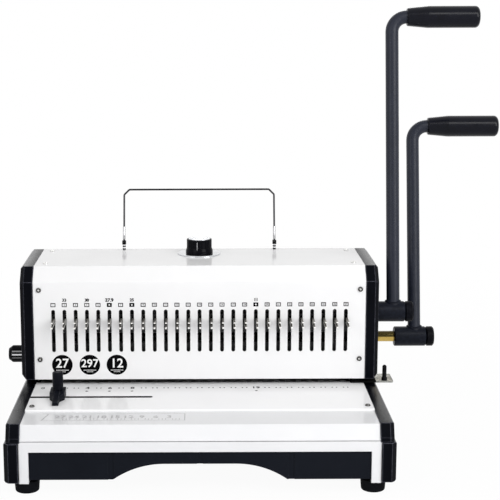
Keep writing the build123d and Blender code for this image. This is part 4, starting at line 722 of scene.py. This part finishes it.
# the weld where each bar meets its hub: a bead that follows the hub's round top and ripples a
# little; each lever leans by its own degrees
joint_at = {joint["name"]: Vector(joint["pos_m"]) for joint in frame["joints"] if "pos_m" in joint}
bead_radius = 0.0019
hub_radius = 0.0117
bar_radius = 0.0075
ripple_height = 0.00025
ripples_across, ripples_deep = 26, 19
for lever, lean in (("punch", 10.6), ("binding", 12.0)):
    post_left_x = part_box(lever + "_lever_post")[0].x
    axis = joint_at[lever + "_lever_turn"]
    foot = Vector((post_left_x + bar_radius, axis.y, axis.z))
    made = bmesh.new()
    ring = bmesh.ops.create_circle(made, segments=10, radius=bead_radius)["verts"]
    bmesh.ops.transform(made, verts=ring, matrix=Matrix.Translation((bar_radius, 0, 0)) @ upright)
    bmesh.ops.spin(made, geom=made.verts[:] + made.edges[:], cent=(0, 0, 0), axis=(0, 0, 1), angle=2 * pi,
                   steps=40, use_merge=True)
    bmesh.ops.remove_doubles(made, verts=made.verts, dist=0.00001)
    for corner in made.verts:
        across, deep = corner.co.x / bar_radius, corner.co.y / bar_radius
        corner.co.z += sqrt(max(hub_radius ** 2 - corner.co.y ** 2, 0))
        corner.co.z += ripple_height * sin(ripples_across * across) * sin(ripples_deep * deep)
    leaning = Matrix.Translation(foot) @ Matrix.Rotation(radians(-lean), 4, "X")
    bmesh.ops.transform(made, verts=made.verts, matrix=leaning)
    new_piece(lever + "_lever_weld", made, hub_paint, lever + "_lever", smooth=60)

# ---- Brass: the spacer sleeve between the side cover and the rear lever's hub, turned from
# bar, and the bushes of both shafts. The sleeve's upper half is painted dark as painted shade.
brass = skin(
    "turned_brass", ((0.60, 0.43, 0.13), (0.72, 0.54, 0.20)), (0.22, 0.36), 1600, 0.00003,
    patch_scale=70, metallic=1.0, edge=(0.85, 0.70, 0.34), edge_radius=0.0004)
dress(brass, "shaft_bushes")
half_shaded_brass = skin(
    "half_shaded_brass", ((0.50, 0.35, 0.09), (0.66, 0.48, 0.15)), (0.2, 0.34), 1600, 0.00003,
    patch_scale=70, metallic=1.0, edge=(0.85, 0.70, 0.34), edge_radius=0.0004)
tree, shader = opened(half_shaded_brass)
painted_shade_colour = (0.030, 0.026, 0.010)
shade_blend = 0.0011
sleeve_axis = joint_at["binding_lever_turn"]
# painted shade: the sleeve is painted dark above its axis
dust_film_and_shade = node(tree, "ShaderNodeMapRange", From_Min=sleeve_axis.z, From_Max=sleeve_axis.z + shade_blend,
            To_Max=0.94)
tree.links.new(position(tree)[2], dust_film_and_shade.inputs["Value"])
recolour(tree, shader, dust_film_and_shade.outputs["Result"], painted_shade_colour)
dress(half_shaded_brass, "brass_sleeve")

# ---- Hooks: flat stamped hooks, nickel plated, one through each slot, that hold the open
# wire while it is loaded. The bottom of each mouth and what lies behind the panel are painted
# black as painted shade, with their metal and gloss taken away, and the noses are painted bright
# as painted highlights.
hook_metal = 0.85
hook_nickel = skin(
    "stamped_nickel", ((0.15, 0.14, 0.12), (0.30, 0.285, 0.25)), (0.22, 0.38), 1800, 0.00002,
    patch_scale=260, metallic=hook_metal, edge=(0.60, 0.58, 0.52), edge_radius=0.0004, edge_amount=0.9)
tree, shader = opened(hook_nickel)
painted_shade_black = (0.006, 0.006, 0.006)
painted_highlight_nickel = (0.95, 0.94, 0.91)
recess_y = panel_y - 0.002
mouth_y, mouth_half_depth = panel_y - 0.0154, 0.0012
mouth_low_z, mouth_high_z = 0.1522, 0.1550
upper_nose_y, upper_nose_half = panel_y - 0.0236, 0.0016
lower_nose_y, lower_nose_half = panel_y - 0.0279, 0.0018
x, y, z = position(tree)
deep = calculate(tree, "COMPARE", y, mouth_y, mouth_half_depth)
between = calculate(tree, "COMPARE", z, (mouth_low_z + mouth_high_z) / 2, (mouth_high_z - mouth_low_z) / 2)
mouth = calculate(tree, "MULTIPLY", deep, between)
# painted highlights: both noses are painted bright
upper = calculate(tree, "MULTIPLY", calculate(tree, "COMPARE", y, upper_nose_y, upper_nose_half),
                  calculate(tree, "GREATER_THAN", z, mouth_high_z))
lower = calculate(tree, "MULTIPLY", calculate(tree, "COMPARE", y, lower_nose_y, lower_nose_half),
                  calculate(tree, "LESS_THAN", z, mouth_low_z))
recolour(tree, shader, calculate(tree, "MAXIMUM", upper, lower), painted_highlight_nickel)
# painted shade: black in each mouth and over all that lies behind the panel
recess = calculate(tree, "GREATER_THAN", y, recess_y)
recolour(tree, shader, calculate(tree, "MAXIMUM", mouth, recess), painted_shade_black)


def dull_the_hidden(tree, shader, hidden, metal):
    """Take the metal and its gloss away where a mask marks painted shade."""
    bare = calculate(tree, "SUBTRACT", 1.0, hidden)
    specular = shader.inputs["Specular IOR Level"]
    tree.links.new(calculate(tree, "MULTIPLY", bare, metal), shader.inputs["Metallic"])
    tree.links.new(calculate(tree, "MULTIPLY", bare, specular.default_value), specular)


dull_the_hidden(tree, shader, recess, hook_metal)
dress(hook_nickel, "binding_hooks")


# ---- Knobs: the wire size knob on the top with its spun aluminium cap and bright ring, and
# the margin knob on the left, both moulded in gloss black with flutes for the fingers.
def radius_from(tree, middle, across):
    """Distance from an axis through a point; across is 1 for the directions that count."""
    where = node(tree, "ShaderNodeTexCoord")
    shift = [-place * counts for place, counts in zip(middle, across)]
    centred = node(tree, "ShaderNodeMapping", Location=shift, Scale=across)
    away = node(tree, "ShaderNodeVectorMath", operation="LENGTH")
    tree.links.new(where.outputs["Object"], centred.inputs["Vector"])
    tree.links.new(centred.outputs[0], away.inputs[0])
    return away.outputs["Value"]


knob_gloss = skin(
    "gloss_black_knob", ((0.0016, 0.0016, 0.0028), (0.003, 0.003, 0.0045)), (0.10, 0.18), 1500, 0.00002,
    patch_scale=80, specular=0.05, edge=(0.06, 0.06, 0.07), edge_radius=0.0004)
dress(knob_gloss, "size_knob")

# the margin knob's ribs between the flutes are painted bright and metallic as a painted highlight, strongest
# a little above its axis
ribbed_gloss = skin(
    "ribbed_black_knob", ((0.0016, 0.0016, 0.0028), (0.003, 0.003, 0.0045)), (0.12, 0.22), 1500, 0.00002,
    patch_scale=80, specular=0.05)
tree, shader = opened(ribbed_gloss)
rib_radius = 0.00978
rib_highlight_colour = (0.72, 0.72, 0.74)
rib_metal = 0.85
highlight_rise, highlight_reach = 0.0016, 0.0058
margin_axis = joint_at["margin_dial_turn"]
rib_highlight = calculate(tree, "GREATER_THAN", radius_from(tree, margin_axis, (0, 1, 1)), rib_radius)
highlight_band = node(tree, "ShaderNodeMapRange", From_Min=0.0, From_Max=highlight_reach, To_Min=1.0, To_Max=0.0)
tree.links.new(apart(tree, position(tree)[2], margin_axis.z + highlight_rise), highlight_band.inputs["Value"])
rib_highlight = calculate(tree, "MULTIPLY", rib_highlight, highlight_band.outputs["Result"])
recolour(tree, shader, rib_highlight, rib_highlight_colour)
tree.links.new(calculate(tree, "MULTIPLY", rib_highlight, rib_metal), shader.inputs["Metallic"])
dress(ribbed_gloss, "margin_knob")

# the cap is spun, so fine rings run round it, a wave of so many radians for each metre outwards
cap_low, cap_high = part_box("size_knob_cap")
ring_wave = 9000.0
spun_aluminium = skin(
    "spun_aluminium", ((0.46, 0.47, 0.49), (0.62, 0.63, 0.65)), (0.16, 0.26), 2500, 0.00001,
    patch_scale=80, metallic=1.0, edge=(0.22, 0.22, 0.23), edge_radius=0.0007, edge_amount=1.6)
tree, shader = opened(spun_aluminium)
outwards = radius_from(tree, (cap_low + cap_high) / 2, (1, 1, 0))
rings = calculate(tree, "SINE", calculate(tree, "MULTIPLY", outwards, ring_wave))
engrave(tree, shader, rings, 0.5, 0.00003)
dress(spun_aluminium, "size_knob_cap")
chrome = skin(
    "bright_chrome", ((0.56, 0.57, 0.59), (0.72, 0.73, 0.74)), (0.06, 0.14), 1200, 0.000006,
    patch_scale=40, metallic=1.0, edge=(0.9, 0.9, 0.9), edge_radius=0.0004)
dress(chrome, "dial_ring")

# the white index line of the size knob, let into its side a little left of its middle; its turn
# comes from how far the line and the knob's edge are from that middle in the picture
knob_low, knob_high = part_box("size_knob")
knob_middle = (knob_low + knob_high) / 2
knob_radius = 0.0148
index_width, index_depth, index_length = 0.0006, 0.0012, 0.0092
index_rise = 0.0012
line_pixels, edge_pixels = -2.1, 12.45
index_turn = asin(line_pixels / edge_pixels)
made = bmesh.new()
corners = bmesh.ops.create_cube(made, size=1)["verts"]
bmesh.ops.transform(made, verts=corners, matrix=Matrix.Diagonal((index_width, index_depth, index_length, 1)))
outward = Matrix.Rotation(index_turn, 4, "Z") @ Matrix.Translation((0, -knob_radius, 0))
raised = Matrix.Translation(knob_middle + Vector((0, 0, index_rise)))
bmesh.ops.transform(made, verts=corners, matrix=raised @ outward)
bmesh.ops.bevel(made, geom=made.edges[:], offset=0.0002, offset_type="OFFSET", affect="EDGES", segments=2,
                profile=0.5, material=-1)
new_piece("size_knob_index", made, ink_pale, "size_dial", smooth=40)

# ---- Paper guide: a black moulded shoe that slides along the slot of the table, with a round
# knob that clamps it.
guide_plastic = skin(
    "black_guide_plastic", ((0.003, 0.0036, 0.006), (0.006, 0.007, 0.0105)), (0.3, 0.42), 2200, 0.00003,
    patch_scale=70, specular=0.05, edge=(0.09, 0.095, 0.11), edge_radius=0.0006, edge_amount=0.8)
dress(guide_plastic, "paper_guide", "guide_knob")

# ---- Side stop: a zinc-plated steel plate with a black finger pin riveted into it. The end
# that runs in the throat is painted black as painted shade, without metal or gloss.
zinc_metal = 0.95
zinc_plate = skin(
    "zinc_plate", ((0.10, 0.104, 0.10), (0.50, 0.50, 0.47)), (0.2, 0.4), 900, 0.00003,
    patch_scale=260, metallic=zinc_metal, edge=(0.80, 0.79, 0.75), edge_radius=0.0005)
tree, shader = opened(zinc_plate)
shaded_end_x = 0.2020
throat_shade_black = (0.008, 0.008, 0.008)
# painted shade: the end in the throat is painted black
in_throat_shade = calculate(tree, "LESS_THAN", position(tree)[0], middle_x + shaded_end_x)
recolour(tree, shader, in_throat_shade, throat_shade_black)
dull_the_hidden(tree, shader, in_throat_shade, zinc_metal)
dress(zinc_plate, "side_stop_plate")
black_oxide = skin(
    "black_oxide", ((0.002, 0.002, 0.003), (0.006, 0.006, 0.007)), (0.3, 0.45), 1800, 0.00003,
    patch_scale=90, specular=0.08, edge=(0.05, 0.05, 0.05), edge_radius=0.0004)
dress(black_oxide, "side_stop_pin")

# ---- Wire bail: one length of hard wire with cut corners, plated dark and polished, that tips
# forward in its two ribbed sockets.
bail_wire = skin(
    "bail_wire", ((0.012, 0.012, 0.014), (0.045, 0.045, 0.048)), (0.16, 0.3), 1500, 0.00001,
    patch_scale=60, metallic=0.9, edge=(0.2, 0.2, 0.2), edge_radius=0.0003)
dress(bail_wire, "wire_bail")

# its sockets: black ribs and heads on a thin bright post
bail_axis = joint_at["wire_bail_swing"]
bail_half_width = 0.0905
post_radius = 0.00135
post_top = 0.0023
post_steel = (0.80, 0.80, 0.82)
socket_black = skin(
    "bail_socket_black", ((0.004, 0.004, 0.005), (0.009, 0.009, 0.010)), (0.3, 0.45), 1800, 0.00003,
    patch_scale=90, specular=0.12, edge=(0.05, 0.05, 0.05), edge_radius=0.0003)
tree, shader = opened(socket_black)
x, y, z = position(tree)
aside = calculate(tree, "SUBTRACT", apart(tree, x, middle_x), bail_half_width)
behind = calculate(tree, "SUBTRACT", y, bail_axis.y)
squares = calculate(tree, "ADD", calculate(tree, "MULTIPLY", aside, aside),
                    calculate(tree, "MULTIPLY", behind, behind))
thin = calculate(tree, "LESS_THAN", squares, post_radius ** 2)
low_part = calculate(tree, "LESS_THAN", z, bail_axis.z - post_top)
post = calculate(tree, "MULTIPLY", thin, low_part)
recolour(tree, shader, post, post_steel)
tree.links.new(post, shader.inputs["Metallic"])
dress(socket_black, "bail_sockets")

# a bright ferrule on each leg of the bail, just above its socket
bail_lean = radians(16)
ferrule_start = 0.0035
ferrule_profile = (
    (0, 0.00112), (0, 0.0014), (0.0004, 0.0016), (0.0150, 0.0016), (0.0156, 0.0014), (0.0156, 0.00112),
    (0, 0.00112))
made = bmesh.new()
along = Vector((0, sin(bail_lean), cos(bail_lean)))
for side in (-1, 1):
    start = Vector((middle_x + side * bail_half_width, bail_axis.y, bail_axis.z)) + along * ferrule_start
    turned(made, ferrule_profile, start, along, 20)
ferrule_steel = skin(
    "ferrule_steel", ((0.34, 0.34, 0.35), (0.52, 0.52, 0.53)), (0.10, 0.2), 1500, 0.00001,
    patch_scale=90, metallic=1.0, edge=(0.12, 0.12, 0.12), edge_radius=0.0003, edge_amount=1.0)
new_piece("bail_ferrules", made, ferrule_steel, "wire_bail", smooth=40)
